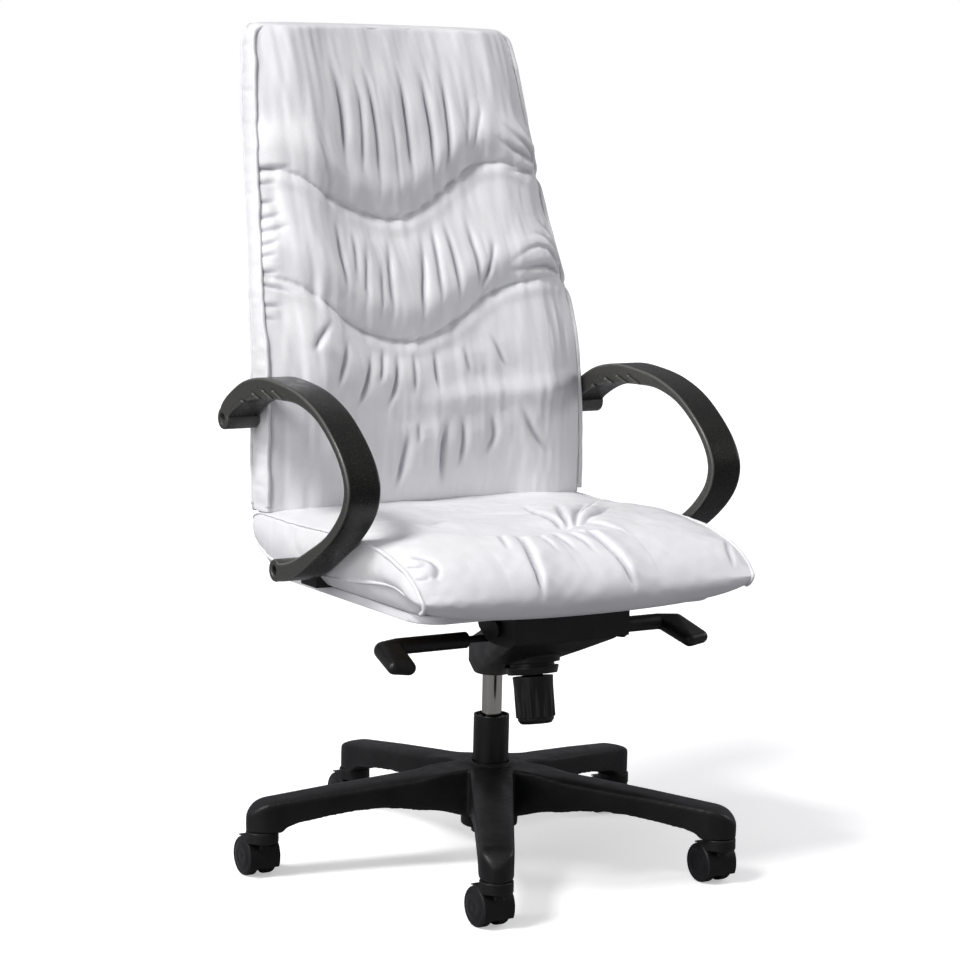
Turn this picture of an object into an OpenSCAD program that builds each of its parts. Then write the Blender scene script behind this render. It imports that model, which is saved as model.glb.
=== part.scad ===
// High-back executive swivel chair on a five-star base with twin-wheel casters.
// Millimetres, +Z up. Origin on the floor under the column axis; the front of the chair faces -Y.

/* [Base] */
// Radius of the circle that the caster stems stand on
stem_circle_r = 330; // [300:5:350]
// Direction of the first leg, degrees from +X
first_leg_deg = -120; // [-180:1:180]
// Outside radius of the hub
hub_r = 40; // [38:1:46]
// Height of the top of the hub
hub_top_z = 146; // [142:1:150]
// Height of the shoulder where each caster meets its leg
leg_shoulder_z = 66; // [66:1:68]
// Half width of a leg at the hub
leg_half_w_hub = 31; // [28:1:34]
// Half width of a leg at its end
leg_half_w_end = 23; // [21:1:25]

/* [Casters] */
// Wheel radius
wheel_r = 27.5; // [26:0.5:28]
// Distance of the wheel axle behind the stem
caster_trail = 20; // [18:1:22]
// Wheel thickness
wheel_w = 15.5; // [13:0.5:16]

/* [Column] */
// Outside radius of the column tube
tube_r = 25; // [25:1:25]
// Top of the column tube
tube_top_z = 211; // [205:1:215]
// Radius of the gas cylinder
cylinder_r = 14; // [14:1:14]
// Radius of the piston rod
rod_r = 5; // [5:1:5]

/* [Mechanism] */
// Distance of the tilt shaft in front of the column
tilt_y = 156; // [150:1:160]
// Height of the tilt shaft
tilt_z = 367; // [365:1:368]
// Distance of the lever rods in front of the column
lever_y = 85; // [80:1:90]
// Height of the lever rods
lever_z = 340; // [338:1:341]
// Lean of the tension knob's axis, degrees
knob_lean = 10.7; // [8:0.1:12]
// Largest radius of the tension knob
knob_r = 28; // [24:1:30]

/* [Seat] */
// Half width of the seat cushion
seat_half_w = 262; // [256:1:263]
// Half width of the top of the back
back_top_half_w = 213; // [200:1:225]
// Height of the top of the back
back_top_z = 1165; // [1140:5:1180]

/* [Armrests] */
// Inner side of the armrests from the middle of the chair
arm_x = 264; // [264:1:268]
// Width of the armrest band
arm_w = 50; // [44:1:56]

/* [Hidden] */
$fn = 96;
e = 0.01;

black = [0.06, 0.06, 0.065];
steel = [0.55, 0.55, 0.57];
chrome = [0.85, 0.85, 0.87];
leather = [0.92, 0.92, 0.94];
charcoal = [0.13, 0.14, 0.13];

function leg_deg(k) = first_leg_deg + 72 * (k - 1);
function cat1(a, b, c, d, t) = 0.5 * (2 * b + (c - a) * t + (2 * a - 5 * b + 4 * c - d) * t * t + (3 * b - a - 3 * c + d) * t * t * t);
// smooth curve through a list of points, n steps between neighbours
function curve(p, n) = [for (i = [0 : len(p) - 2], j = [0 : n - 1])
    cat1(p[max(i - 1, 0)], p[i], p[i + 1], p[min(i + 2, len(p) - 1)], j / n), p[len(p) - 1]];

// a profile drawn in (y, z) and extruded across the chair between two x values
module across(x0, x1) { translate([x0, 0, 0]) rotate([90, 0, 90]) linear_extrude(x1 - x0) children(); }
// a cylinder along X
module xcyl(x0, x1, y, z, r) { translate([x0, y, z]) rotate([0, 90, 0]) cylinder(h = x1 - x0, r = r); }

// ---------- five-star base ----------
module leg_blank() {
  intersection() {
    rotate([90, 0, 0]) linear_extrude(90, center = true)
      polygon([[15, 66], [40, 72], [92, 86], [130, 93], [165, 96], [200, 94.5], [240, 89], [285, 80], [300, 74], [stem_circle_r - 22, leg_shoulder_z],
        [stem_circle_r + 22, leg_shoulder_z], [stem_circle_r + 23, 98], [stem_circle_r + 19, 104], [stem_circle_r + 8, 108],
        [stem_circle_r - 12, 110], [230, 121], [140, 131], [60, 139], [15, 142]]);
    union() {
      linear_extrude(200) polygon([[0, -leg_half_w_hub], [60, -leg_half_w_hub + 1.5], [stem_circle_r, -leg_half_w_end],
        [stem_circle_r, leg_half_w_end], [60, leg_half_w_hub - 1.5], [0, leg_half_w_hub]]);
      translate([stem_circle_r, 0, 0]) cylinder(h = 200, r = leg_half_w_end);
    }
  }
}
module leg_pocket(r0, r1, hw) {
  rotate([90, 0, 0]) linear_extrude(2 * hw, center = true)
    polygon([[r0, 40], [r1, 40], [r1, 143.5 - 0.113 * r1 - 4], [r0, 143.5 - 0.113 * r0 - 4]]);
}
module base_star() {
  color(black) difference() {
    union() {
      translate([0, 0, 54]) cylinder(h = hub_top_z - 8 - 54, r = hub_r);
      translate([0, 0, hub_top_z - 8 - e]) cylinder(h = 8 + e, r = hub_r - 5);
      for (k = [1 : 5]) rotate([0, 0, leg_deg(k)]) leg_blank();
    }
    translate([0, 0, 40]) cylinder(h = 120, r = tube_r + 0.02);
    for (k = [1 : 5]) rotate([0, 0, leg_deg(k)]) {
      leg_pocket(46, 116, 24);
      leg_pocket(121, 196, 21);
      leg_pocket(201, 296, 18);
      translate([stem_circle_r, 0, 50]) cylinder(h = 54, r = 5.52);
    }
  }
}
module caster_stems() {
  color(steel) for (k = [1 : 5]) rotate([0, 0, leg_deg(k)]) translate([stem_circle_r, 0, 0]) {
    translate([0, 0, leg_shoulder_z + 0.4]) cylinder(h = 36, r = 5.5);
    translate([0, 0, 40]) cylinder(h = leg_shoulder_z + 1 - 40, r = 4);
  }
}

// ---------- casters ----------
// children are drawn in a caster's own frame: stem on Z, wheels trailing towards +Y
module at_caster(k) { rotate([0, 0, leg_deg(k)]) translate([stem_circle_r, 0, 0]) rotate([0, 0, -leg_deg(k)]) children(); }
module caster_hood(k) {
  color(black) at_caster(k) difference() {
    union() {
      difference() {
        xcyl(-23.5, 23.5, caster_trail, wheel_r, wheel_r + 3.4);
        for (s = [-1, 1]) xcyl(s > 0 ? 6.3 : -24, s > 0 ? 24 : -6.3, caster_trail, wheel_r, wheel_r + 1.2);
        translate([-30, -40, -10]) cube([60, 100, 10 + 13]);
        translate([-30, caster_trail + 6, -10]) cube([60, 60, 80]);
      }
      intersection() {
        xcyl(-6.3, 6.3, caster_trail, wheel_r, wheel_r - 3);
        translate([-10, -20, 12]) cube([20, 80, 60]);
      }
      difference() {
        translate([0, 0, 36]) cylinder(h = leg_shoulder_z - 0.4 - 36, r1 = 23, r2 = 22.5);
        for (s = [-1, 1]) xcyl(s > 0 ? 6.3 : -40, s > 0 ? 40 : -6.3, caster_trail, wheel_r, wheel_r + 1.2);
        translate([-30, -40, 20]) cube([60, 100, 30]);
      }
      translate([-6.3, -9, 40]) cube([12.6, 24, 12]);
    }
    translate([0, 0, 38]) cylinder(h = 40, r = 4.06);
    xcyl(-30, 30, caster_trail, wheel_r, 4);
  }
}
module caster_axle(k) { color(steel) at_caster(k) xcyl(-21, 21, caster_trail, wheel_r, 3.98); }
module wheel(k, s) {
  color(black) at_caster(k) translate([0, caster_trail, wheel_r]) rotate([0, 90 * s, 0]) rotate_extrude()
    polygon([[4.05, 7.1], [wheel_r - 2, 7.1], [wheel_r, 9], [wheel_r, 7.1 + wheel_w - 5], [wheel_r - 1.5, 7.1 + wheel_w - 2],
      [wheel_r - 5, 7.1 + wheel_w - 0.6], [10, 7.1 + wheel_w + 0.4], [4.05, 7.1 + wheel_w + 0.5]]);
}

// ---------- column ----------
module column_tube() {
  color(black) difference() {
    translate([0, 0, 44]) cylinder(h = tube_top_z - 44, r = tube_r);
    translate([0, 0, 54]) cylinder(h = tube_top_z, r = tube_r - 2.5);
    translate([0, 0, 40]) cylinder(h = 10, r = tube_r - 5);
    translate([0, 0, 40]) cylinder(h = 40, r = rod_r + 0.06);
  }
}
module ring(z0, z1, ri, ro) { difference() { translate([0, 0, z0]) cylinder(h = z1 - z0, r = ro); translate([0, 0, z0 - 1]) cylinder(h = z1 - z0 + 2, r = ri); } }
module guide_bush() { color(black) ring(131, tube_top_z - 3, cylinder_r + 0.06, tube_r - 2.52); }
module thrust_bearing() { color(steel) ring(54.02, 60, rod_r + 0.06, 13); }
module bump_stop() { color(black) ring(60.02, 66, rod_r + 0.5, 12); }
module piston_rod() { color(chrome) union() { translate([0, 0, 45]) cylinder(h = 178, r = rod_r); translate([0, 0, 222]) cylinder(h = 13, r = 10.92); } }
module rod_clip() { color(steel) ring(46.6, 49.6, rod_r + 0.01, 10); }
module gas_cylinder() {
  color(chrome) rotate_extrude() polygon([[rod_r + 0.06, 112], [cylinder_r - 1, 112], [cylinder_r, 113], [cylinder_r, 321], [cylinder_r - 1, 322],
    [3.06, 322], [3.06, 302.5], [0, 302.5], [0, 300], [11, 300], [11, 118], [rod_r + 0.06, 118]]);
}
module valve_button() { color(steel) translate([0, 0, 310]) cylinder(h = 22, r = 3); }

// ---------- tilt mechanism ----------
module housing_outer() {
  hull() {
    translate([0, 0, 287]) cylinder(h = 31, r = 34, $fn = 48);
    translate([0, 0, 271]) cylinder(h = 16, r = 26, $fn = 48);
    translate([-84, -180, 345]) cube([168, 30, 37]);
    translate([-84, -186, 350]) cube([168, 10, 28]);
    translate([-52, -139, 322]) cube([104, 4, 4]);
  }
}
module housing_cavity() {
  hull() {
    translate([0, 0, 289]) cylinder(h = 41, r = 31, $fn = 48);
    translate([0, 0, 275]) cylinder(h = 14, r = 23, $fn = 48);
    translate([-81, -183, 354]) cube([162, 33, 44]);
  }
}
// children are drawn along the tension knob's axis, whose zero is at the underside of the housing
module on_knob_axis() { translate([0, -100.4, 302.9]) rotate([-knob_lean, 0, 0]) children(); }
module mechanism_housing() {
  color(black) difference() {
    union() {
      difference() {
        union() {
          housing_outer();
          on_knob_axis() cylinder(h = 30, r = 39);
        }
        housing_cavity();
      }
      intersection() {
        housing_outer();
        union() {
          translate([0, 0, 271]) cylinder(h = 49, r = 21);
          on_knob_axis() translate([0, 0, -20]) cylinder(h = 24, r = 40.5);
          for (s = [-1, 1]) translate([s * 46 - 4, -lever_y - 8, 280]) cube([8, 16, 70]);
        }
      }
      for (s = [-1, 1]) xcyl(s > 0 ? 76 : -84, s > 0 ? 84 : -76, -tilt_y, tilt_z, 14.5);
    }
    translate([0, 0, 200]) cylinder(h = 200, r = cylinder_r + 0.02);
    on_knob_axis() translate([0, 0, -1]) cylinder(h = 30, r = 24);
    on_knob_axis() translate([0, 0, -30]) cylinder(h = 30, r = 37.2);
    xcyl(-100, 100, -lever_y, lever_z, 5.06);
    xcyl(-100, 100, -tilt_y, tilt_z, 10.5);
  }
}
module spring_cup() { color(black) on_knob_axis() difference() { union() { translate([0, 0, -15]) cylinder(h = 8, r1 = 34, r2 = 36.5); translate([0, 0, -7 - e]) cylinder(h = 2.5, r = 36.5); translate([0, 0, -5]) cylinder(h = 5 - e, r = 31); } translate([0, 0, -16]) cylinder(h = 18, r = 6.06); } }
module pivot_bushes() {
  color(steel) for (s = [-1, 1]) difference() {
    union() { xcyl(s > 0 ? 74 : -84, s > 0 ? 84 : -74, -tilt_y, tilt_z, 10.48); xcyl(s > 0 ? 84.02 : -86, s > 0 ? 86 : -84.02, -tilt_y, tilt_z, 14); xcyl(s > 0 ? 83 : -85, s > 0 ? 85 : -83, -tilt_y, tilt_z, 10.48); }
    xcyl(-90, 90, -tilt_y, tilt_z, 8.06);
  }
}
// coil: 5 turns of round wire as one swept tube
coil_turns = 5;
coil_n = 16;
coil_sides = 8;
coil_r = 17;
wire_r = 3;
coil_z0 = 19.3;
coil_z1 = 80;
function coil_c(i) = let (t = i / (coil_turns * coil_n), a = 360 * coil_turns * t) [coil_r * cos(a), coil_r * sin(a), coil_z0 + (coil_z1 - coil_z0) * t];
module tension_spring() {
  N = coil_turns * coil_n;
  pts = [for (i = [0 : N], j = [0 : coil_sides - 1]) let (a = 360 * i / coil_n, b = 360 * j / coil_sides, c = coil_c(i))
    [c[0] + wire_r * cos(b) * cos(a), c[1] + wire_r * cos(b) * sin(a), c[2] + wire_r * sin(b)]];
  side = [for (i = [0 : N - 1], j = [0 : coil_sides - 1]) let (k = (j + 1) % coil_sides, a = i * coil_sides, b = a + coil_sides) [a + j, b + j, b + k, a + k]];
  color(steel) on_knob_axis() polyhedron(pts, concat([[for (j = [0 : coil_sides - 1]) j]], side, [[for (j = [0 : coil_sides - 1]) N * coil_sides + coil_sides - 1 - j]]), convexity = 10);
}
module spring_nut() { color(steel) on_knob_axis() difference() { translate([0, 0, 8]) cylinder(h = 8, r = 23.5); cylinder(h = 30, r = 6.06); } }
module tension_bolt() { color(steel) on_knob_axis() translate([0, 0, -64]) cylinder(h = 108, r = 6); }
module tension_knob() {
  color(black) on_knob_axis() difference() {
    union() {
      translate([0, 0, -83]) cylinder(h = 5, r1 = knob_r - 7, r2 = knob_r - 3.2);
      translate([0, 0, -78 - e]) cylinder(h = 60, r1 = knob_r - 3.2, r2 = knob_r);
      translate([0, 0, -19]) cylinder(h = 3.6, r = 14);
      for (i = [0 : 15]) rotate([0, 0, i * 22.5]) translate([knob_r - 2.8, 0, -74]) cylinder(h = 50, r = 2.4);
    }
    translate([0, 0, -64.02]) cylinder(h = 104, r = 6.01);
  }
}
module height_lever_rod() {
  color(steel) union() {
    xcyl(-200, -28, -lever_y, lever_z, 5);
    xcyl(-38, -28, -lever_y, lever_z, 9);
    translate([0, 0, lever_z - 7.2]) linear_extrude(6) polygon([[-38, -lever_y - 4], [-28, -lever_y - 4], [-28, -30], [-20, -18], [6, -9], [6, 7], [-8, 6], [-31, -16], [-37, -42]]);
  }
}
module lock_lever_rod() {
  color(steel) union() {
    xcyl(28, 200, -lever_y, lever_z, 5);
    xcyl(28, 38, -lever_y, lever_z, 9);
    across(29, 37) polygon([[-lever_y - 9, lever_z], [-lever_y - 7, lever_z + 12], [-lever_y + 5, lever_z + 16], [-lever_y + 9, lever_z + 12], [-lever_y + 3, lever_z + 9], [-lever_y + 9, lever_z]]);
  }
}
module lever_handle(s, d) {
  color(black) difference() {
    union() {
      xcyl(s > 0 ? 96 : -206 - d, s > 0 ? 206 + d : -96, -lever_y, lever_z, 11.3);
      hull() { translate([s * (204 + d), -lever_y, lever_z]) sphere(r = 11.3, $fn = 32); translate([s * (230 + d), -lever_y - 8, lever_z - 2]) sphere(r = 12.5, $fn = 32); }
      hull() { translate([s * (230 + d), -lever_y - 8, lever_z - 2]) sphere(r = 12.5, $fn = 32); translate([s * (212 + d), -lever_y - 8, lever_z - 3]) sphere(r = 11, $fn = 32);
        translate([s * (240 + d), -lever_y - 55, lever_z - 15]) sphere(r = 9.5, $fn = 32); translate([s * (219 + d), -lever_y - 57, lever_z - 17]) sphere(r = 10, $fn = 32); }
    }
    xcyl(s > 0 ? 90 : -200.02, s > 0 ? 200.02 : -90, -lever_y, lever_z, 5.01);
  }
}
module height_lever_handle() { lever_handle(-1, 0); }
module lock_lever_handle() { lever_handle(1, 15); }

// ---------- seat frame ----------
plate_z = 386;
module seat_plate() {
  color(black) difference() {
    union() {
      translate([-91, -200, plate_z]) cube([182, 315, 4]);
      for (s = [-1, 1]) across(s > 0 ? 87 : -91, s > 0 ? 91 : -87)
        polygon([[-200, plate_z + 1], [-200, 354], [-190, 347], [-172, 345], [-148, 345], [-126, 349], [-108, 362], [-96, plate_z + 1]]);
      translate([-91, -200, 352]) cube([182, 4, plate_z + 1 - 352]);
    }
    xcyl(-100, 100, -tilt_y, tilt_z, 8.02);
    for (x = [-70, 70], y = [-170, 95]) translate([x, y, 380]) cylinder(h = 20, r = 3.3);
  }
}
module pivot_shaft() { color(steel) union() { xcyl(-93, 93, -tilt_y, tilt_z, 8); for (s = [-1, 1]) xcyl(s > 0 ? 91.02 : -97, s > 0 ? 97 : -91.02, -tilt_y, tilt_z, 11); } }
module seat_bolts() { color(steel) for (x = [-70, 70], y = [-170, 95]) translate([x, y, 0]) { translate([0, 0, 382.5]) cylinder(h = 3.48, r = 5); translate([0, 0, 384]) cylinder(h = 16, r = 3); } }
module seat_pan() {
  color([0.5, 0.4, 0.28]) difference() {
    translate([0, 0, 390]) linear_extrude(12) offset_box(-236, 236, -205, 205, 40);
    for (x = [-70, 70], y = [-170, 95]) translate([x, y, 380]) cylinder(h = 21, r = 3.01);
  }
}
// rounded rectangle from circles and squares
module offset_box(x0, x1, y0, y1, r) {
  union() {
    translate([x0 + r, y0]) square([x1 - x0 - 2 * r, y1 - y0]);
    translate([x0, y0 + r]) square([x1 - x0, y1 - y0 - 2 * r]);
    for (x = [x0 + r, x1 - r], y = [y0 + r, y1 - r]) translate([x, y]) circle(r = r);
  }
}
// outer shape of the seat cushion: side, front and plan outlines together
module seat_blank() {
  intersection() {
    across(-seat_half_w, seat_half_w) polygon(curve([[232, 446], [227, 466], [202, 486], [114, 492], [0, 496], [-90, 497], [-150, 488], [-200, 474], [-236, 456], [-254, 432], [-256, 412], [-250, 398], [-236, 392], [0, 391], [180, 394], [222, 420], [232, 446]], 3));
    rotate([90, 0, 0]) linear_extrude(600, center = true) polygon([[-seat_half_w, 420], [-200, 402], [-150, 391], [150, 391], [200, 402], [seat_half_w, 420], [seat_half_w, 470], [seat_half_w - 20, 500], [20 - seat_half_w, 500], [-seat_half_w, 470]]);
    linear_extrude(700) offset_box(-seat_half_w, seat_half_w, -262, 245, 34);
  }
}
module lug_room(g) {
  for (s = [-1, 1]) {
    translate([s > 0 ? 214 - g : -260 - g, 40 - g, 402 - g]) cube([46 + 2 * g, 44 + 2 * g, 38 + 2 * g]);
    translate([s > 0 ? 206 - g : -254 - g, 206 - g, 596 - g]) cube([48 + 2 * g, 26 + 2 * g, 40 + 2 * g]);
  }
}
module seat_cushion() {
  color(leather) difference() {
    seat_blank();
    translate([0, 0, 380]) linear_extrude(22) offset_box(-236, 236, -205, 205, 40);
    translate([-236, -150, 380]) cube([472, 360, 22]);
    translate([-240, 0, 380]) cube([480, 400, 22]);
    for (s = [-1, 1]) translate([s > 0 ? 210 : -300, 36, 380]) cube([90, 52, 62]);
    for (x = [-70, 70], y = [-170, 95]) translate([x, y, 380]) cylinder(h = 22, r = 7);
  }
}
// front and rear faces of the back, as (y, z) curves
back_front = curve([[186, 500], [188, 560], [192, 640], [204, 720], [232, 800], [268, 900], [298, 1000], [324, 1100], [342, back_top_z - 12]], 3);
back_rear = curve([[246, 478], [250, 560], [256, 640], [262, 720], [286, 800], [322, 900], [354, 1000], [377, 1100], [388, back_top_z - 8]], 3);
function inset(c, d) = [for (p = c) [p[0] - d, p[1]]];
function flip(c) = [for (i = [len(c) - 1 : -1 : 0]) c[i]];
module back_outline(g) {
  rotate([90, 0, 0]) linear_extrude(900, center = true) polygon([[-260 + g, 470], [-258 + g, 640], [-255 + g, 760], [-233 + g, 946], [-back_top_half_w + g, back_top_z - 14 - g], [-back_top_half_w + 12 + g, back_top_z - g],
    [back_top_half_w - 12 - g, back_top_z - g], [back_top_half_w - g, back_top_z - 14 - g], [233 - g, 946], [255 - g, 760], [258 - g, 640], [260 - g, 470]]);
}
module back_cushion() {
  color(leather) difference() {
    intersection() {
      across(-300, 300) polygon(concat([[186, 500]], back_front, [[352, back_top_z], [372, back_top_z]], flip(inset(back_rear, 14.4)), [[212, 500]]));
      back_outline(0);
    }
    for (s = [-1, 1]) translate([s > 0 ? 202 : -300, 202, 592]) cube([98, 60, 48]);
  }
}
module back_shell() {
  color([0.5, 0.4, 0.28]) difference() {
    intersection() {
      across(-300, 300) polygon(concat(inset(back_rear, 14), flip(inset(back_rear, 5.4))));
      back_outline(14);
    }
  }
}
module back_cover() {
  color(leather) intersection() {
    across(-300, 300) polygon(concat(inset(back_rear, 5), flip(back_rear)));
    back_outline(4);
  }
}
module arm_lugs() {
  color(steel) difference() {
    for (s = [-1, 1]) {
      translate([s > 0 ? 214 : -260, 40, 402.02]) cube([46, 44, 38]);
      translate([s > 0 ? 206 : -254, 205, 596]) cube([48, 33.4, 40]);
    }
    for (s = [-1, 1]) { xcyl(s > 0 ? 226 : -270, s > 0 ? 270 : -226, 62, 427, 4.01); xcyl(s > 0 ? 216 : -270, s > 0 ? 270 : -216, 222, 616, 4.01); }
  }
}
module arm_screws() {
  color(steel) for (s = [-1, 1]) {
    xcyl(s > 0 ? 228 : -304, s > 0 ? 304 : -228, 62, 427, 4); xcyl(s > 0 ? 300 : -304, s > 0 ? 304 : -300, 62, 427, 6.5);
    xcyl(s > 0 ? 218 : -304, s > 0 ? 304 : -218, 222, 616, 4); xcyl(s > 0 ? 300 : -304, s > 0 ? 304 : -300, 222, 616, 6.5);
  }
}

// ---------- armrests ----------
// outer face of the loop as (y, z), from the upper end to the lower end, with its thickness
arm_path = [[236, 612, 26], [229, 634, 26], [204, 654, 27], [160, 675, 29], [105, 684.5, 29], [50, 682, 23], [0, 674, 16], [-50, 656, 12], [-92, 629, 11],
  [-124, 599, 12], [-141, 568, 14], [-137, 537, 14], [-117, 509, 14], [-84, 481, 14], [-42, 454, 18], [4, 427, 23], [40, 415, 25], [62, 413, 26]];
arm_curve = curve(arm_path, 4);
function arm_in(i) = let (n = len(arm_curve), a = arm_curve[max(i - 1, 0)], b = arm_curve[min(i + 1, n - 1)], dy = b[0] - a[0], dz = b[1] - a[1], l = sqrt(dy * dy + dz * dz), p = arm_curve[i])
  [p[0] - dz / l * p[2], p[1] + dy / l * p[2]];
module armrest(s) {
  color(charcoal) difference() {
    union() {
      across(s > 0 ? arm_x : -arm_x - arm_w, s > 0 ? arm_x + arm_w : -arm_x)
        polygon(concat([for (p = arm_curve) [p[0], p[1]]], [for (i = [len(arm_curve) - 1 : -1 : 0]) arm_in(i)]));
      xcyl(s > 0 ? arm_x : -arm_x - arm_w, s > 0 ? arm_x + arm_w : -arm_x, 222, 616, 14);
      xcyl(s > 0 ? arm_x : -arm_x - arm_w, s > 0 ? arm_x + arm_w : -arm_x, 62, 427, 14);
    }
    for (p = [[222, 616], [62, 427]]) { xcyl(s > 0 ? 260 : -340, s > 0 ? 340 : -260, p[0], p[1], 4.02); xcyl(s > 0 ? 299.98 : -340, s > 0 ? 340 : -299.98, p[0], p[1], 7); }
  }
}
module armrest_left() { armrest(-1); }
module armrest_right() { armrest(1); }

base_star();
column_tube();
guide_bush();
thrust_bearing();
bump_stop();
caster_stems();
piston_rod();
rod_clip();
gas_cylinder();
valve_button();
mechanism_housing();
spring_cup();
pivot_bushes();
tension_spring();
spring_nut();
tension_bolt();
tension_knob();
height_lever_rod();
height_lever_handle();
lock_lever_rod();
lock_lever_handle();
seat_plate();
pivot_shaft();
seat_bolts();
seat_pan();
seat_cushion();
back_shell();
back_cushion();
back_cover();
arm_lugs();
armrest_left();
armrest_right();
arm_screws();
caster_hood(1);  // caster_hood_1
caster_hood(2);  // caster_hood_2
caster_hood(3);  // caster_hood_3
caster_hood(4);  // caster_hood_4
caster_hood(5);  // caster_hood_5
caster_axle(1);  // caster_axle_1
caster_axle(2);  // caster_axle_2
caster_axle(3);  // caster_axle_3
caster_axle(4);  // caster_axle_4
caster_axle(5);  // caster_axle_5
wheel(1, -1);  // wheel_left_1
wheel(2, -1);  // wheel_left_2
wheel(3, -1);  // wheel_left_3
wheel(4, -1);  // wheel_left_4
wheel(5, -1);  // wheel_left_5
wheel(1, 1);  // wheel_right_1
wheel(2, 1);  // wheel_right_2
wheel(3, 1);  // wheel_right_3
wheel(4, 1);  // wheel_right_4
wheel(5, 1);  // wheel_right_5
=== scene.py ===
import bpy
import bmesh
import math
import numpy as np
from mathutils import Matrix, Vector


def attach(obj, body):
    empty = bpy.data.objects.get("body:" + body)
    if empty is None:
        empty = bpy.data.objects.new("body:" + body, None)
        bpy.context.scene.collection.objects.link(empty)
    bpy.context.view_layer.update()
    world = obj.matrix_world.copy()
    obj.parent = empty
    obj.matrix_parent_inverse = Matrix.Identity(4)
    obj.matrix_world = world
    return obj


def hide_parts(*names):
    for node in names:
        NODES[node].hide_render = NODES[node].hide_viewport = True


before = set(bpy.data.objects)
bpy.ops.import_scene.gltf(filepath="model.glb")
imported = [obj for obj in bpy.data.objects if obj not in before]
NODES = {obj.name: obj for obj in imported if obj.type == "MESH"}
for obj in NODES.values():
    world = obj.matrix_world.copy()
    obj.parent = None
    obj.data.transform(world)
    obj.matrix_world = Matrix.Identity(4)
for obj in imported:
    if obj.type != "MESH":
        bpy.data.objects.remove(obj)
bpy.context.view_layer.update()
MM = 0.001
COL = bpy.context.scene.collection


# ---------------------------------------------------------------- camera, world, lights, floor
def make_camera():
    f_px, d, h, pitch, yaw, roll = 2887.2, 3.9572, 1.1028, 0.141, -0.006, 0.023
    a = math.radians(-32.0)

    def turn(x, y, z):
        return Vector((x * math.cos(a) - y * math.sin(a), x * math.sin(a) + y * math.cos(a), z))

    loc = turn(0, -d, h)
    fwd = turn(math.sin(yaw) * math.cos(pitch), math.cos(yaw) * math.cos(pitch), -math.sin(pitch)).normalized()
    right = fwd.cross(Vector((0, 0, 1))).normalized()
    up = right.cross(fwd)
    rot = Matrix((right, up, -fwd)).transposed() @ Matrix.Rotation(roll, 3, "Z")
    cam = bpy.data.cameras.new("camera")
    cam.sensor_width = 36
    cam.lens = f_px * 36 / 960
    cam.clip_start, cam.clip_end = 0.05, 200
    ob = bpy.data.objects.new("camera", cam)
    ob.matrix_world = Matrix.Translation(loc) @ rot.to_4x4()
    COL.objects.link(ob)
    bpy.context.scene.camera = ob


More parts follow.
